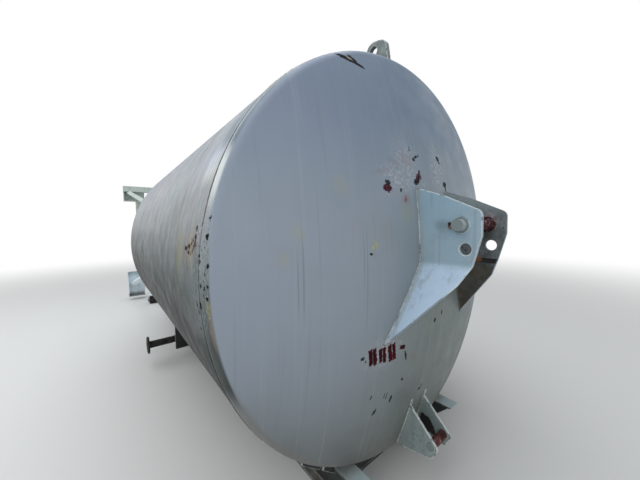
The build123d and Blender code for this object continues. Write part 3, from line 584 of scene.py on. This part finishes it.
def shell_shoulder(s, base):
    """Painted highlight on the shoulder behind the seam, painted lilac and blue sky reflection, washed paint
    lower down, pink clouds.
    """
    near = s.times(s.ramp(s.behind, 0.42, 0.10), s.ramp(s.y, SEAM_Y - 0.02, SEAM_Y))
    # A painted highlight on the shoulder behind the seam.
    shoulder_highlight = s.times(near, s.ramp(s.side, 1.06, 1.14), s.ramp(s.side, 1.26, 1.17))
    base = s.lay(base, s.mix(s.ramp(s.side, 1.08, 1.15), "c3cadf", "dfe2dc"), shoulder_highlight, 0.7)
    # lilac is a painted sky reflection on the shoulder.
    lilac = s.times(s.ramp(s.behind, 0.9, 0.2), s.ramp(s.side, 1.00, 1.10), s.ramp(s.side, 1.22, 1.14))
    base = s.lay(base, "a5adc6", lilac, 0.42)
    # A painted blue sky reflection high on the side, by the seam.
    sky_reflection = s.times(s.ramp(s.behind, 0.26, 0.09), s.ramp(s.side, 1.13, 1.05), s.ramp(s.side, 0.5, 0.85))
    base = s.lay(base, "4d6172", sky_reflection, 0.9)
    washed = s.times(near, s.ramp(s.side, 1.46, 1.56), s.ramp(s.side, 1.80, 1.68))
    base = s.lay(base, "6f7678", washed, 0.45)
    pink = s.ramp(s.noise(s.stretch(s.place, (1.0, 2.2, 1.0)), 1.6, 3.0), 0.46, 0.64)
    base = s.lay(base, "a69ea6", pink, s.ramp(s.side, 1.5, 1.2), 0.35)
    return s.lay(base, "8a908f", s.ramp(s.broad, 0.4, 0.7), s.ramp(s.side, 1.50, 1.15), 0.25)


def shell_streaks(s, base, thin):
    """Streaks that follow the water down the shell: thin along its length and long around it."""
    thick = s.streaks(0.35, 14.0, detail=3.0)
    flank = s.ramp(s.side, 0.25, 0.9)
    base = s.lay(base, "525450", s.ramp(thin, 0.50, 0.66), flank, 0.50)
    base = s.lay(base, "625f55", s.ramp(thick, 0.52, 0.70), flank, 0.42)
    base = s.lay(base, "b4b8b8", s.ramp(thin, 0.44, 0.28), flank, s.ramp(s.side, 1.52, 1.2), 0.30)
    chalk = s.ramp(s.streaks(1.6, 26.0), 0.58, 0.7)
    base = s.lay(base, "b0b2b3", chalk, flank, s.ramp(s.side, 1.56, 1.3), 0.36)
    brown = s.ramp(s.streaks(0.9, 34.0), 0.56, 0.68)
    base = s.lay(base, "56463a", brown, s.ramp(s.side, 1.3, 1.5), 0.40)
    lilac = s.ramp(s.streaks(0.7, 9.0, detail=3.0), 0.50, 0.62)
    return s.lay(base, "8b8390", lilac, flank, s.ramp(s.side, 1.6, 1.3), 0.30)


def shell_marks(s, base):
    """Yellow and orange runs and chips behind the seam, and the seam's own chips and dirt."""
    ragged = s.warp(s.wrapped, 24.0, 0.05)
    base = s.lay(base, "938f58", s.wraps(ragged, YELLOW_RUNS, 0.9), 0.42)
    run_grain = s.ramp(s.streaks(10.0, 60.0), 0.40, 0.60)
    base = s.lay(base, "ad9067", s.wraps(ragged, ORANGE_RUNS, 0.9), run_grain, 0.70)
    close = s.warp(s.wrapped, 80.0, 0.045)
    grain = s.noise(s.place, 110.0, 3.0, 0.7)
    base = s.lay(base, "b89f83", s.wraps(close, SHELL_CHIPS, 0.8), 0.5)
    flaked = s.broken(s.wraps(close, SHELL_CHIPS, 0.6), grain, 1.0)
    base = s.lay(base, "33231b", flaked)
    base, chips = chipped_rim(s, base, grain, "1f1d1b")
    return seam_dirt(s, base), s.highest(chips, flaked)


def shell_rear(s, base):
    """Rusty rear rim, paler paint on what stands out behind it, and lime dust towards the outlet."""
    rim = s.ramp(s.math("ABSOLUTE", s.math("SUBTRACT", s.y, SHELL_END_Y)), 0.03, 0.004)
    base = s.lay(base, "6b5a45", rim, s.ramp(s.patchy, 0.4, 0.6), 0.7)
    past_end = s.ramp(s.y, SHELL_END_Y - 0.05, SHELL_END_Y + 0.05)
    base = s.lay(base, "949b9c", past_end, s.ramp(s.broad, 0.3, 0.6, 0.4, 0.8))
    dusty = s.times(s.ramp(s.y, CONE_TOP_Y + 0.9, CONE_END_Y), s.ramp(s.patchy, 0.35, 0.6), 0.6)
    return s.lay(base, "c9c8c0", dusty)


def shell_paint():
    """Paint of the shell and cone: pale on the shoulders with a painted highlight and sky reflection, darker
    from mid height down, partly grime and partly painted shade, with water streaks.
    """
    s = VesselPaint("shell_paint", broad=1.1, patchy=5.0)
    level = s.math("MULTIPLY_ADD", s.math("SUBTRACT", s.patchy, 0.5), 0.12, s.side)
    # The side's tones hold painted reflection, highlight and shade, with grime.
    base = shell_shoulder(s, flank_tone_and_shade(s, level))
    thin = s.streaks(0.55, 55.0, rough=0.62)
    base = shell_streaks(s, base, thin)
    base, lost = shell_marks(s, base)
    base = shell_rear(s, base)

    roughness = s.gloss(9.0, 0.36, 0.60)
    roughness = s.math("ADD", roughness, s.times(lost, 0.2))
    height = s.math("MULTIPLY_ADD", thin, 0.02, s.noise(s.place, 1.8, 2.0))
    height = s.math("SUBTRACT", height, s.times(lost, 0.04))
    specular = s.times(s.ramp(s.side, 1.70, 1.20, 0.08, 0.30), s.ramp(lost, 1.0, 0.0, 0.2, 1.0))
    return s.finish(base, roughness, s.bump(height, 0.02, 0.6), specular)


def plate_layers(s, base, dirt, grime):
    """Grime in patches and thin runs, dust on what faces up, and freckles of rust. Gives the rust too."""
    down = s.noise(s.stretch(s.place, (30.0, 30.0, 1.2)), 1.0, 3.0, 0.6)
    base = s.lay(base, dirt, s.ramp(down, 0.52, 0.7), 0.30)
    base = s.lay(base, dirt, s.ramp(s.patchy, 0.5, 0.72, 0.0, grime))
    dust = s.times(s.ramp(s.facing_z, 0.7, 0.95), s.ramp(s.noise(s.place, 14.0, 4.0), 0.3, 0.6, 0.1, 0.5))
    base = s.lay(base, "a9a99f", dust)
    rusty = s.times(s.specks(48.0, 0.67, 0.72), s.ramp(s.broad, 0.42, 0.6))
    return s.lay(base, "6e4026", rusty, 0.8), rusty


def worn_edges(s, base, bright, dark):
    """Paint rubbed off along the edges: mostly bright, with dark rusty breaks. On the bracket plates the
    bright colour also carries painted highlight and shade. Gives the worn line too.
    """
    breaks = s.specks(26.0, 0.54, 0.60)
    line = s.times(s.edge, s.specks(60.0, 0.36, 0.48, 0.55, 1.0))
    return s.lay(base, s.mix(breaks, bright, dark), line), line


def finish_plate(s, base, lost):
    """Uneven gloss and relief, hollow where paint is lost, over the rounded edges."""
    roughness = s.gloss(12.0, 0.42, 0.7)
    height = s.math("MULTIPLY_ADD", s.noise(s.place, 90.0, 3.0), 0.08, s.noise(s.place, 6.0, 2.0))
    height = s.math("SUBTRACT", height, s.times(lost, 0.16))
    return s.finish(base, roughness, s.bump(height, 0.002, 0.6, s.rounded))


def bracket_base(s, up, lift):
    """Blue-grey paint, with a painted sky reflection below the fold and painted shade over the lug, stained
    on the lug, and dirty against the head.
    """
    base = s.mix(s.ramp(s.broad, 0.35, 0.65), "8ca6b6", "94a9b5")
    # Painted sky reflection on the flare below the fold.
    base = s.lay(base, "b2c6da", s.ramp(up, HOOK_FOLD + 0.02, HOOK_FOLD - 0.03, 0.0, 0.9))
    base = s.lay(base, "8b9795", s.ramp(up, -0.50, -0.80))
    # Painted shade over the lug.
    base = s.lay(base, "4c636c", s.ramp(up, 0.9, 1.1))
    on_lug = s.ramp(up, 1.15, 1.22)
    mottle = s.specks(38.0, 0.50, 0.60)
    base = s.lay(base, "6f7650", mottle, on_lug, 0.6)
    stripes = s.noise(s.stretch(s.place, (60.0, 60.0, 6.0)), 1.0, 3.0, 0.6)
    base = s.lay(base, "3f4a4c", s.ramp(stripes, 0.56, 0.64), on_lug, 0.6)
    smear = s.spots(s.warp(s.place, 12.0, 0.05), PLATE_SMEAR, 0.8, axis=0)
    base = s.lay(base, "66757a", smear, 0.6)
    base = s.lay(base, "98a19d", s.ramp(lift, 0.030, 0.018), 0.5)
    return s.lay(base, "4c4f4b", s.ramp(lift, 0.012, 0.002), s.ramp(s.patchy, 0.35, 0.6), 0.6)


def clevis_pocks(s, base, up):
    """Dark pocks and chalky spots on the clevis plates."""
    pocked = s.specks(62.0, 0.56, 0.62)
    base = s.lay(base, "4b5250", pocked, s.ramp(up, -0.93, -1.03), 0.5)
    chalked = s.specks(45.0, 0.44, 0.36)
    return s.lay(base, "a2adad", chalked, s.ramp(up, -0.85, -0.95), 0.5)


def bracket_inside(s, up, cloud):
    """Colour of the bracket's inner faces: dark, partly grime and partly painted shade, paler higher up as
    painted light, with painted shade below the fold and along it, and rust by the fold and the bar.
    """
    # Dark inner faces: partly grime and partly painted shade.
    base = s.mix(s.ramp(cloud, 0.38, 0.62), "4a4e50", "6f7678")
    # Painted light on their upper part.
    base = s.lay(base, "8a9699", s.ramp(up, 0.20, 0.36))
    # Painted shade below the fold.
    below_fold_shade = s.ramp(up, HOOK_FOLD, HOOK_FOLD - 0.06, 0.0, 0.8)
    base = s.lay(base, s.mix(cloud, "33332e", "5a5648"), below_fold_shade)
    rust_patch = s.specks(18.0, 0.54, 0.68)
    low_rust = s.times(rust_patch, s.ramp(up, HOOK_FOLD + 0.05, HOOK_FOLD - 0.12), 0.7)
    base = s.lay(base, "6e4a33", low_rust)
    base = s.lay(base, "45302a", s.specks(34.0, 0.60, 0.68))
    # A painted line of shade along the fold.
    fold_shade = s.ramp(s.math("ABSOLUTE", s.math("SUBTRACT", up, HOOK_FOLD - 0.004)), 0.018, 0.008)
    base = s.lay(base, "15110f", fold_shade, s.ramp(cloud, 0.30, 0.45, 0.5, 1.0))
    scab = s.spots(s.warp(s.place, 45.0, 0.02), FOLD_SCAB, 0.5, axis=0)
    base = s.lay(base, "8a5a35", scab, 0.8)
    bar_grime = s.spots(s.warp(s.place, 20.0, 0.05), BAR_GRIME, 0.9, axis=0)
    base = s.lay(base, "35382f", bar_grime, 0.7)
    halo = s.spots(s.warp(s.place, 45.0, 0.03), BAR_HALO, 0.5, axis=0)
    flecks = s.specks(70.0, 0.46, 0.54)
    return s.lay(base, "a08c93", halo, flecks, 0.8)


def bracket_paint():
    """Blue-grey plates of hook bracket, clevis and lug: dark insides, partly rust and grime and partly
    painted shade, edges rubbed to bright paint, with a painted highlight on the clevis edges and painted
    shade on other edges.
    """
    s = PlatePaint("bracket_paint", 0.009)
    up = s.math("SUBTRACT", s.z, AXIS_Z)
    from_crown = s.vectors("LENGTH", s.vectors("SUBTRACT", s.place, (0.0, CROWN_Y, AXIS_Z)))
    lift = s.math("SUBTRACT", from_crown, CROWN_R)
    base, rusty = plate_layers(s, bracket_base(s, up, lift), "68777c", 0.22)
    base = clevis_pocks(s, base, up)

    inward = s.ramp(s.times(s.facing_x, s.math("SIGN", s.x)), -0.3, -0.7)
    cloud = s.noise(s.place, 16.0, 5.0, 0.7)
    # The inner faces take bracket_inside's colour, which is partly painted shade.
    on_hook = s.times(inward, s.ramp(up, -0.6, -0.4), s.ramp(up, 0.9, 0.8))
    base = s.lay(base, bracket_inside(s, up, cloud), on_hook)
    # Painted shade on the clevis plates' inner faces.
    inner_shade = s.broken(s.spots(s.place, CLEVIS_INNER_SHADE, 0.9, axis=0), cloud, 1.8)
    base = s.lay(base, "22211f", inward, inner_shade, s.ramp(up, -0.70, -0.75))

    # Painted shade on the far plate's edges.
    far_plate_shade = s.times(s.ramp(s.x, 0.10, 0.14), s.ramp(up, -0.50, -0.45))
    # A painted shadow along the lower edge of the flare.
    flare_foot_shadow = s.times(s.ramp(up, -0.09, -0.15), s.ramp(up, -0.50, -0.45), s.ramp(lift, 0.012, 0.024))
    # A painted highlight whitens the clevis edges, over their wear.
    bright = s.mix(s.ramp(up, -0.70, -0.85), "dde2e2", "fbfcfc")
    bright = s.lay(bright, "1d1b1a", s.highest(far_plate_shade, flare_foot_shadow), 0.85)
    base, line = worn_edges(s, base, bright, "3c322a")
    return finish_plate(s, base, s.highest(rusty, line))


def ground_dirt(s, base, ahead):
    """Splashes and grime near the ground. ahead is 1 before the cone's end and 0 behind it."""
    height = s.times(s.z, s.ramp(ahead, 1.0, 0.0, 1.0, 2.0))
    splashed = s.times(s.ramp(height, 0.30, 0.0), s.ramp(s.patchy, 0.3, 0.6, 0.3, 0.85))
    base = s.lay(base, "55514a", splashed)
    at_foot = s.times(s.ramp(ahead, 1.0, 0.0), s.ramp(s.z, 0.20, 0.10))
    foot_grime = s.times(at_foot, s.ramp(s.patchy, 0.3, 0.5, 0.6, 1.0))
    return s.lay(base, "565d5e", foot_grime, 0.8)


def shaded_faces(s, base, ahead):
    """Painted shade by the way a face looks: nearly black cross plates, undersides and webs, and pale rail
    noses as a painted highlight.
    """
    # Painted shade on upright cross plates.
    upright = s.times(s.ramp(s.math("ABSOLUTE", s.facing_y), 0.7, 0.9), ahead, s.ramp(s.z, 0.8, 0.6), 0.92)
    base = s.lay(base, "101211", upright)
    # Painted shade on undersides.
    under = s.times(s.ramp(s.facing_z, 0.2, -0.4), s.ramp(s.z, 0.8, 0.4), ahead, 0.85)
    base = s.lay(base, "242422", under)
    # A painted highlight on the rail noses.
    nose_highlight = s.times(s.ramp(s.y, FRONT_Y + 0.03, FRONT_Y - 0.05), s.ramp(s.facing_z, 0.5, 0.9))
    base = s.lay(base, "a9bcc2", nose_highlight, 0.75)
    below_top = s.ramp(s.z, RAIL_TOP + 0.01, RAIL_TOP - 0.01)
    # Painted shade on the rail webs.
    web = s.times(s.ramp(s.facing_z, 0.5, 0.2), below_top, ahead, 0.85)
    return s.lay(base, "1f2221", web)


def frame_paint():
    """Rails, saddles, legs and feet: pale high up, with painted light on the low rear feet, and dirty and
    dark near the ground, partly painted shade.
    """
    s = PlatePaint("frame_paint", 0.006)
    base = s.mix(s.ramp(s.broad, 0.35, 0.65), "93a5ad", "9fb1b9")
    base = s.lay(base, "b2bdb7", s.ramp(s.z, 1.2, 2.0))
    ahead = s.ramp(s.y, CONE_END_Y - 0.30, CONE_END_Y - 0.45)
    low = s.times(s.ramp(s.z, 0.42, 0.15), ahead)
    base = s.lay(base, "5b6262", low, 0.75)
    # Painted light on the low rear feet, which stand in shade.
    rear_low_light = s.times(s.ramp(s.z, 0.62, 0.46), s.ramp(ahead, 1.0, 0.0))
    base = s.lay(base, "dbe6ec", rear_low_light)
    base, rusty = plate_layers(s, base, s.mix(rear_low_light, "6d716a", "9fb3bb"), 0.4)
    base = ground_dirt(s, base, ahead)
    base = shaded_faces(s, base, ahead)
    base, line = worn_edges(s, base, "b4b9b2", "4f3b2c")
    return finish_plate(s, base, s.highest(rusty, line))


def rusted(name, bright, deep, flake, paint=None, painted_beyond=None, dull=0.0, dark_shaded_end=False):
    """A bar or pin of bare steel: clouds of deep and bright rust, with flakes in a colour of their own.

    One with a paint keeps it further than painted_beyond from the middle plane, dull on its end faces.
    With a dark end, the pick-up bar is darkened towards the right bracket plate, as painted shade between
    the plates.
    """
    s = Shader(name, Specular_IOR_Level=0.15)
    edge, rounded = s.edges(0.003)
    cloud = s.noise(s.place, 25.0, 5.0, 0.7)
    grain = s.noise(s.place, 180.0, 4.0, 0.7)
    base = s.mix(s.ramp(cloud, 0.42, 0.57), deep, bright)
    base = s.lay(base, "1d1513", s.ramp(grain, 0.54, 0.66, 0.0, 0.75))
    base = s.lay(base, flake, s.specks(48.0, 0.55, 0.62, 0.0, 0.75))
    if dark_shaded_end:
        # Painted shade on the bar between the plates, towards the right one.
        far_shade = s.times(s.ramp(s.x, 0.09, 0.125), s.ramp(s.z, AXIS_Z + 0.245, AXIS_Z + 0.215, 0.4, 1.0))
        base = s.lay(base, "120b0e", far_shade, s.ramp(cloud, 0.36, 0.56, 0.95, 0.55))
    worn = s.times(edge, s.ramp(cloud, 0.35, 0.55))
    if paint:
        reach = s.math("ABSOLUTE", s.split(s.warp(s.place, 50.0, 0.008))[0])
        kept = s.ramp(reach, painted_beyond - 0.003, painted_beyond + 0.003)
        base = s.lay(base, paint, kept)
        base = s.lay(base, "75807f", kept, s.ramp(s.math("ABSOLUTE", s.facing_x), 0.8, 0.95), dull)
        worn = s.times(worn, s.ramp(kept, 1.0, 0.0, 0.2, 1.0))
    base = s.lay(base, "5a3a2a", worn)
    roughness = s.ramp(grain, 0.3, 0.7, 0.55, 0.85)
    height = s.math("MULTIPLY_ADD", grain, 0.25, cloud)
    return s.finish(base, roughness, s.bump(height, 0.001, 0.7, rounded))


paints = {
    "head_paint": head_paint(),
    "shell_paint": shell_paint(),
    "bracket_paint": bracket_paint(),
    "frame_paint": frame_paint(),
    # The pick-up bar's dark end is painted shade.
    "worn_bar": rusted(
        "worn_bar", "4f242a", "2a1517", "97898f",
        paint="97a4aa", painted_beyond=HOOK_OUTER, dull=0.9, dark_shaded_end=True,
    ),
    "rusty_pin": rusted(
        "rusty_pin", "57302c", "241514", "98807f",
        paint="7d8887", painted_beyond=CLEVIS_OUTER - 0.002,
    ),
    "roller_steel": rusted("roller_steel", "37322e", "201d1c", "4a4b49"),
    "dark_pipe": rusted("dark_pipe", "34312f", "1e1c1c", "4a4b4a"),
}

slots = {part["node"]: part["material_slot"] for part in frame["record"]["subparts"]}
for name, cad_piece in nodes.items():
    cad_piece.data.materials.clear()
    cad_piece.data.materials.append(paints[slots[name]])


# Small pieces

def head_y(x, up):
    """Where the head's outer face is, for a place across the silo."""
    return CROWN_Y - math.sqrt(CROWN_R ** 2 - x * x - up * up)


def place(x, y, up):
    return Vector((x, y, AXIS_Z + up))


def attach(made, slot):
    """Puts a new object into the scene, on the silo's body, with the finish of a record's slot."""
    bpy.context.scene.collection.objects.link(made)
    made.data.materials.append(paints[slot])
    for polygon in made.data.polygons:
        polygon.use_smooth = True
    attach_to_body(made, "silo")
    return made


def spread(points, step, closed=False):
    """The same path with its points step apart."""
    corners = list(points) + ([points[0]] if closed else [])
    out = []
    for a, b in zip(corners, corners[1:]):
        count = max(1, round((b - a).length / step))
        out += [a.lerp(b, i / count) for i in range(count)]
    return out if closed else out + [corners[-1]]


def bead(name, points, radius, slot, closed=False, step=0.006, sides=6):
    """A weld bead along a path: an uneven round section whose ripples are the welder's steps."""
    path = spread(points, step, closed)
    count = len(path)
    off_path = Vector((0.31, 0.52, 0.79))   # a direction that no bead runs in
    verts, faces = [], []
    for i, at in enumerate(path):
        before = path[i - 1] if i or closed else at
        after = path[(i + 1) % count] if i < count - 1 or closed else at
        ahead = (after - before).normalized()
        across = ahead.cross(off_path).normalized()
        top = ahead.cross(across)
        ripple, lump = 0.18 * abs(math.sin(i * 1.9)), 0.35 * noise.noise(at * 60)
        swell = 0.82 + ripple + lump
        end = 0.45 if not closed and i in (0, count - 1) else 1.0
        for k in range(sides):
            t = 2 * math.pi * k / sides
            verts.append(at + (across * math.cos(t) + top * math.sin(t)) * radius * swell * end)
    for i in range(count if closed else count - 1):
        a, b = i * sides, (i + 1) % count * sides
        for k in range(sides):
            n = (k + 1) % sides
            faces.append((a + k, a + n, b + n, b + k))
    if not closed:
        faces.append(tuple(reversed(range(sides))))
        faces.append(tuple(range((count - 1) * sides, count * sides)))
    mesh = bpy.data.meshes.new(name)
    mesh.from_pydata([tuple(v) for v in verts], [], faces)
    return attach(bpy.data.objects.new(name, mesh), slot)


def ring(radius, y, steps=180):
    """Points round the silo's axis."""
    turns = [2 * math.pi * i / steps for i in range(steps)]
    return [place(radius * math.sin(t), y, radius * math.cos(t)) for t in turns]


def loop_round(low, high, axis, value):
    """The four corners of a box's section, at value along axis."""
    others = [a for a in range(3) if a != axis]
    out = []
    for i, j in ((0, 0), (1, 0), (1, 1), (0, 1)):
        corner = Vector((value, value, value))
        corner[others[0]] = (low, high)[i][others[0]]
        corner[others[1]] = (low, high)[j][others[1]]
        out.append(corner)
    return out


def plate_faces(inner, outer):
    """The four faces of a pair of plates: side, distance of a bead's middle, and the words for a name."""
    for side, word in ((-1, "left"), (1, "right")):
        yield side, outer + FACE_GAP, f"{word}_outer"
        yield side, inner - FACE_GAP, f"{word}_inner"


def girth_welds():
    """Round the vessel: the girth seam, the rear rim, and the outlet with its flange."""
    bead("girth_weld_front", ring(SHELL_R - 0.0005, SEAM_Y), 0.0036, "shell_paint", closed=True, step=0.012)
    rear = ring(SHELL_R - 0.006, SHELL_END_Y + 0.001)
    bead("girth_weld_rear", rear, 0.0040, "shell_paint", closed=True, step=0.016)
    outlet_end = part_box("outlet")[1].y
    throat = ring(OUTLET_R + 0.0005, CONE_END_Y + 0.002, steps=60)
    bead("outlet_weld", throat, 0.0050, "shell_paint", closed=True)
    flange = ring(OUTLET_R + 0.001, outlet_end - 0.022, steps=60)
    bead("outlet_flange_weld", flange, 0.0050, "shell_paint", closed=True)


def hook_welds():
    """Both faces of each bracket plate on the head, down the plate and on along the flare."""
    steps = 40
    for side, face, words in plate_faces(HOOK_GAP_HALF, HOOK_OUTER):
        path = []
        for k in range(steps + 1):
            up = HOOK_TOP - k * (HOOK_TOP - HOOK_HEEL) / steps
            x = face + max(0.0, HOOK_FOLD - up) * HOOK_LEAN
            path.append(place(side * x, head_y(x, up) - HEAD_GAP, up))
        bead(f"hook_weld_{words}", path, 0.0055, "bracket_paint")


def collar_welds():
    """Fillet welds round the pick-up bar where its collars meet the plates."""
    collar_r, steps = 0.0385, 40
    behind, height = BAR_MIDDLE
    for side, face, words in plate_faces(HOOK_GAP_HALF, HOOK_OUTER):
        path = []
        for k in range(steps):
            t = 2 * math.pi * k / steps
            y = FRONT_Y + behind + collar_r * math.cos(t)
            path.append(place(side * face, y, height + collar_r * math.sin(t)))
        slot = "bracket_paint" if face > HOOK_OUTER else "worn_bar"
        bead(f"collar_weld_{words}", path, 0.0035, slot, closed=True)


def clevis_welds():
    """Both faces of each clevis plate on the head."""
    top, bottom, steps = -0.83, -1.16, 20
    heights = [top + (bottom - top) * k / steps for k in range(steps + 1)]
    for side, face, words in plate_faces(CLEVIS_GAP_HALF, CLEVIS_OUTER):
        path = [place(side * face, head_y(face, up) - HEAD_GAP, up) for up in heights]
        bead(f"clevis_weld_{words}", path, 0.0050, "bracket_paint")


def lug_welds():
    """Round the lug's pad on the shell, and round its plate on the pad."""
    low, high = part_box("lifting_lug")
    pad_z = math.sqrt(SHELL_R ** 2 - high.x ** 2) + 0.001
    corners = ((low.x, low.y), (high.x, low.y), (high.x, high.y), (low.x, high.y))
    bead("lug_pad_weld", [place(x, y, pad_z) for x, y in corners], 0.0055, "bracket_paint", closed=True)
    half, margin, pad_top = 0.0165, 0.0195, SHELL_R + 0.0095
    front, back = low.y + margin, high.y - margin
    corners = ((-half, front), (half, front), (half, back), (-half, back))
    bead("lug_plate_weld", [place(x, y, pad_top) for x, y in corners], 0.0045, "bracket_paint", closed=True)


def rail_welds():
    """Short welds where each rail's inner edge touches the shell."""
    rail_inner = 0.4305
    first, pitch, length, count = FRONT_Y + 0.12, 0.36, 0.12, 9
    for side, word in ((-1, "left"), (1, "right")):
        for k in range(count):
            y = first + k * pitch
            ends = [Vector((side * rail_inner, end, RAIL_TOP - 0.001)) for end in (y, y + length)]
            bead(f"rail_weld_{word}_{k + 1}", ends, 0.0055, "frame_paint")


def saddle_welds():
    """Both faces of each saddle plate on the shell, outside the rails."""
    rail_outer, steps = 0.535, 12
    for node, half in (("saddle_front", 0.740), ("saddle_middle", 0.865)):
        low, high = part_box(node)
        widths = [rail_outer + (half - rail_outer) * k / steps for k in range(steps + 1)]
        for y, word in ((low.y - FACE_GAP, "front"), (high.y + FACE_GAP, "back")):
            for side, word_2 in ((-1, "left"), (1, "right")):
                path = [place(side * x, y, -math.sqrt((SHELL_R + 0.001) ** 2 - x * x)) for x in widths]
                bead(f"{node}_weld_{word}_{word_2}", path, 0.0050, "frame_paint", step=0.009)


def frame_welds():
    """Round the ends of beams, posts and cross members, and where the legs stand on their feet."""
    def frame_bead(name, path, radius=0.0045):
        bead(name, path, radius, "frame_paint", closed=True, step=0.010)

    for name, axis in (("base_beam_bottom", 0), ("rail_post_left", 2), ("rail_post_right", 2)):
        low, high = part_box(name)
        for end, value in (("a", low[axis]), ("b", high[axis])):
            frame_bead(f"{name}_weld_{end}", loop_round(low, high, axis, value))
    for name in ("left", "right"):
        low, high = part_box(f"base_beam_{name}")
        frame_bead(f"beam_{name}_weld", loop_round(low, high, 2, high.z))
    for number in range(1, 5):
        low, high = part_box(f"cross_member_{number}")
        for end, value in (("a", low.x + 0.001), ("b", high.x - 0.001)):
            frame_bead(f"cross_{number}_weld_{end}", loop_round(low, high, 0, value))
    for corner in ("upper_left", "upper_right", "lower_left", "lower_right"):
        low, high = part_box(f"leg_{corner}")
        frame_bead(f"foot_weld_{corner}", loop_round(low, high, 1, high.y - 0.001), radius=0.0050)


def keeper_tab():
    """Small rusty keeper on the bracket plate, between the pick-up bar's left collar and the head."""
    size, bevel = (0.010, 0.016, 0.030), 0.0015
    from_bar_y, from_bar_z = 0.048, -0.001
    bm = bmesh.new()
    bmesh.ops.create_cube(bm, size=1.0)
    bmesh.ops.scale(bm, vec=size, verts=bm.verts)
    bmesh.ops.bevel(bm, geom=list(bm.edges), offset=bevel, segments=2, affect="EDGES", profile=0.6)
    mesh = bpy.data.meshes.new("bar_keeper_tab")
    bm.to_mesh(mesh)
    bm.free()
    made = bpy.data.objects.new("bar_keeper_tab", mesh)
    behind, height = BAR_MIDDLE
    made.location = place(-HOOK_OUTER - size[0] / 2, FRONT_Y + behind + from_bar_y, height + from_bar_z)
    attach(made, "rusty_pin")


girth_welds()
hook_welds()
collar_welds()
clevis_welds()
lug_welds()
rail_welds()
saddle_welds()
frame_welds()
keeper_tab()


# Floor, light and camera

def studio_floor():
    """Pale floor that keeps the shadows near the silo and fades to white further out."""
    reach, corners = 60.0, 48
    fade_start, fade_end = 4.5, 14.0
    turns = [2 * math.pi * k / corners for k in range(corners)]
    mesh = bpy.data.meshes.new("floor")
    points = [(reach * math.cos(t), reach * math.sin(t), -0.0005) for t in turns]
    mesh.from_pydata(points, [], [tuple(range(corners))])
    floor = bpy.data.objects.new("floor", mesh)
    bpy.context.scene.collection.objects.link(floor)
    s = Shader("studio_floor", Roughness=0.8, Specular_IOR_Level=0.2)
    s.bsdf.inputs["Base Color"].default_value = colour("d2d2d0")
    distance = s.vectors("LENGTH", s.place)
    rays = s.node("ShaderNodeLightPath").outputs
    seen = s.highest(rays["Is Camera Ray"], rays["Is Glossy Ray"], rays["Is Transmission Ray"])
    fade = s.times(s.ramp(distance, fade_start, fade_end), seen)
    white = s.node("ShaderNodeEmission", {"Color": (1, 1, 1, 1), "Strength": 1.0}).outputs[0]
    blend = s.node("ShaderNodeMixShader", {0: fade, 1: s.bsdf.outputs[0], 2: white}).outputs[0]
    output = next(n for n in s.tree.nodes if n.type == "OUTPUT_MATERIAL")
    s.tree.links.new(blend, output.inputs["Surface"])
    mesh.materials.append(s.material)


def studio_world():
    """Soft light from all round, seen as white by the camera."""
    world = bpy.data.worlds.new("studio")
    bpy.context.scene.world = world
    world.use_nodes = True
    tree = world.node_tree
    tree.nodes.clear()
    backgrounds = []
    for tint, strength in (((0.92, 0.96, 1.0, 1.0), 0.50), ((1.0, 1.0, 1.0, 1.0), 1.0)):
        made = tree.nodes.new("ShaderNodeBackground")
        made.inputs["Color"].default_value = tint
        made.inputs["Strength"].default_value = strength
        backgrounds.append(made.outputs[0])
    rays = tree.nodes.new("ShaderNodeLightPath").outputs
    seen = rays["Is Camera Ray"]
    for ray in ("Is Glossy Ray", "Is Transmission Ray"):
        either = tree.nodes.new("ShaderNodeMath")
        either.operation = "MAXIMUM"
        tree.links.new(seen, either.inputs[0])
        tree.links.new(rays[ray], either.inputs[1])
        seen = either.outputs[0]
    choose = tree.nodes.new("ShaderNodeMixShader")
    out = tree.nodes.new("ShaderNodeOutputWorld")
    tree.links.new(seen, choose.inputs[0])
    tree.links.new(backgrounds[0], choose.inputs[1])
    tree.links.new(backgrounds[1], choose.inputs[2])
    tree.links.new(choose.outputs[0], out.inputs["Surface"])


def softbox(name, at, aim, size, power, tint):
    """A rectangular soft lamp that looks from at to aim."""
    lamp = bpy.data.lights.new(name, "AREA")
    lamp.shape = "RECTANGLE"
    lamp.size, lamp.size_y = size
    lamp.energy = power
    lamp.color = tint
    made = bpy.data.objects.new(name, lamp)
    bpy.context.scene.collection.objects.link(made)
    made.location = at
    made.rotation_mode = "QUATERNION"
    made.rotation_quaternion = (Vector(aim) - Vector(at)).to_track_quat("-Z", "Y")


def photo_camera():
    """The photograph's camera. Its focal length is in pixels of a picture 640 pixels wide."""
    focal_pixels, picture_width = 267.6855, 640.0
    lens = bpy.data.cameras.new("camera")
    lens.sensor_width = 36.0
    lens.lens = lens.sensor_width * focal_pixels / picture_width
    lens.clip_end = 300.0
    camera = bpy.data.objects.new("camera", lens)
    bpy.context.scene.collection.objects.link(camera)
    eye, aim, upright = (-1.461, -3.8849, 1.5824), (0.6258, 0.7780, -0.0556), (0.0485, 0.0324, 0.9984)
    camera.location = eye
    ahead = Vector(aim).normalized()
    right = ahead.cross(Vector(upright)).normalized()
    camera.rotation_mode = "QUATERNION"
    camera.rotation_quaternion = Matrix((right, right.cross(ahead), -ahead)).transposed().to_quaternion()
    bpy.context.scene.camera = camera


studio_floor()
studio_world()
softbox("overhead", (-2.0, 0.0, 8.0), (0.0, 0.0, 1.2), (10.0, 12.0), 620.0, (0.96, 0.98, 1.0))
softbox("left_window", (-8.5, 1.0, 4.5), (0.0, 0.0, 1.2), (8.0, 5.0), 110.0, (1.0, 0.99, 0.97))
softbox("front_fill", (-3.5, -10.0, 4.5), (0.0, -2.5, 1.2), (8.0, 5.0), 190.0, (0.98, 0.99, 1.0))
photo_camera()
bpy.context.scene.view_settings.view_transform = "Standard"
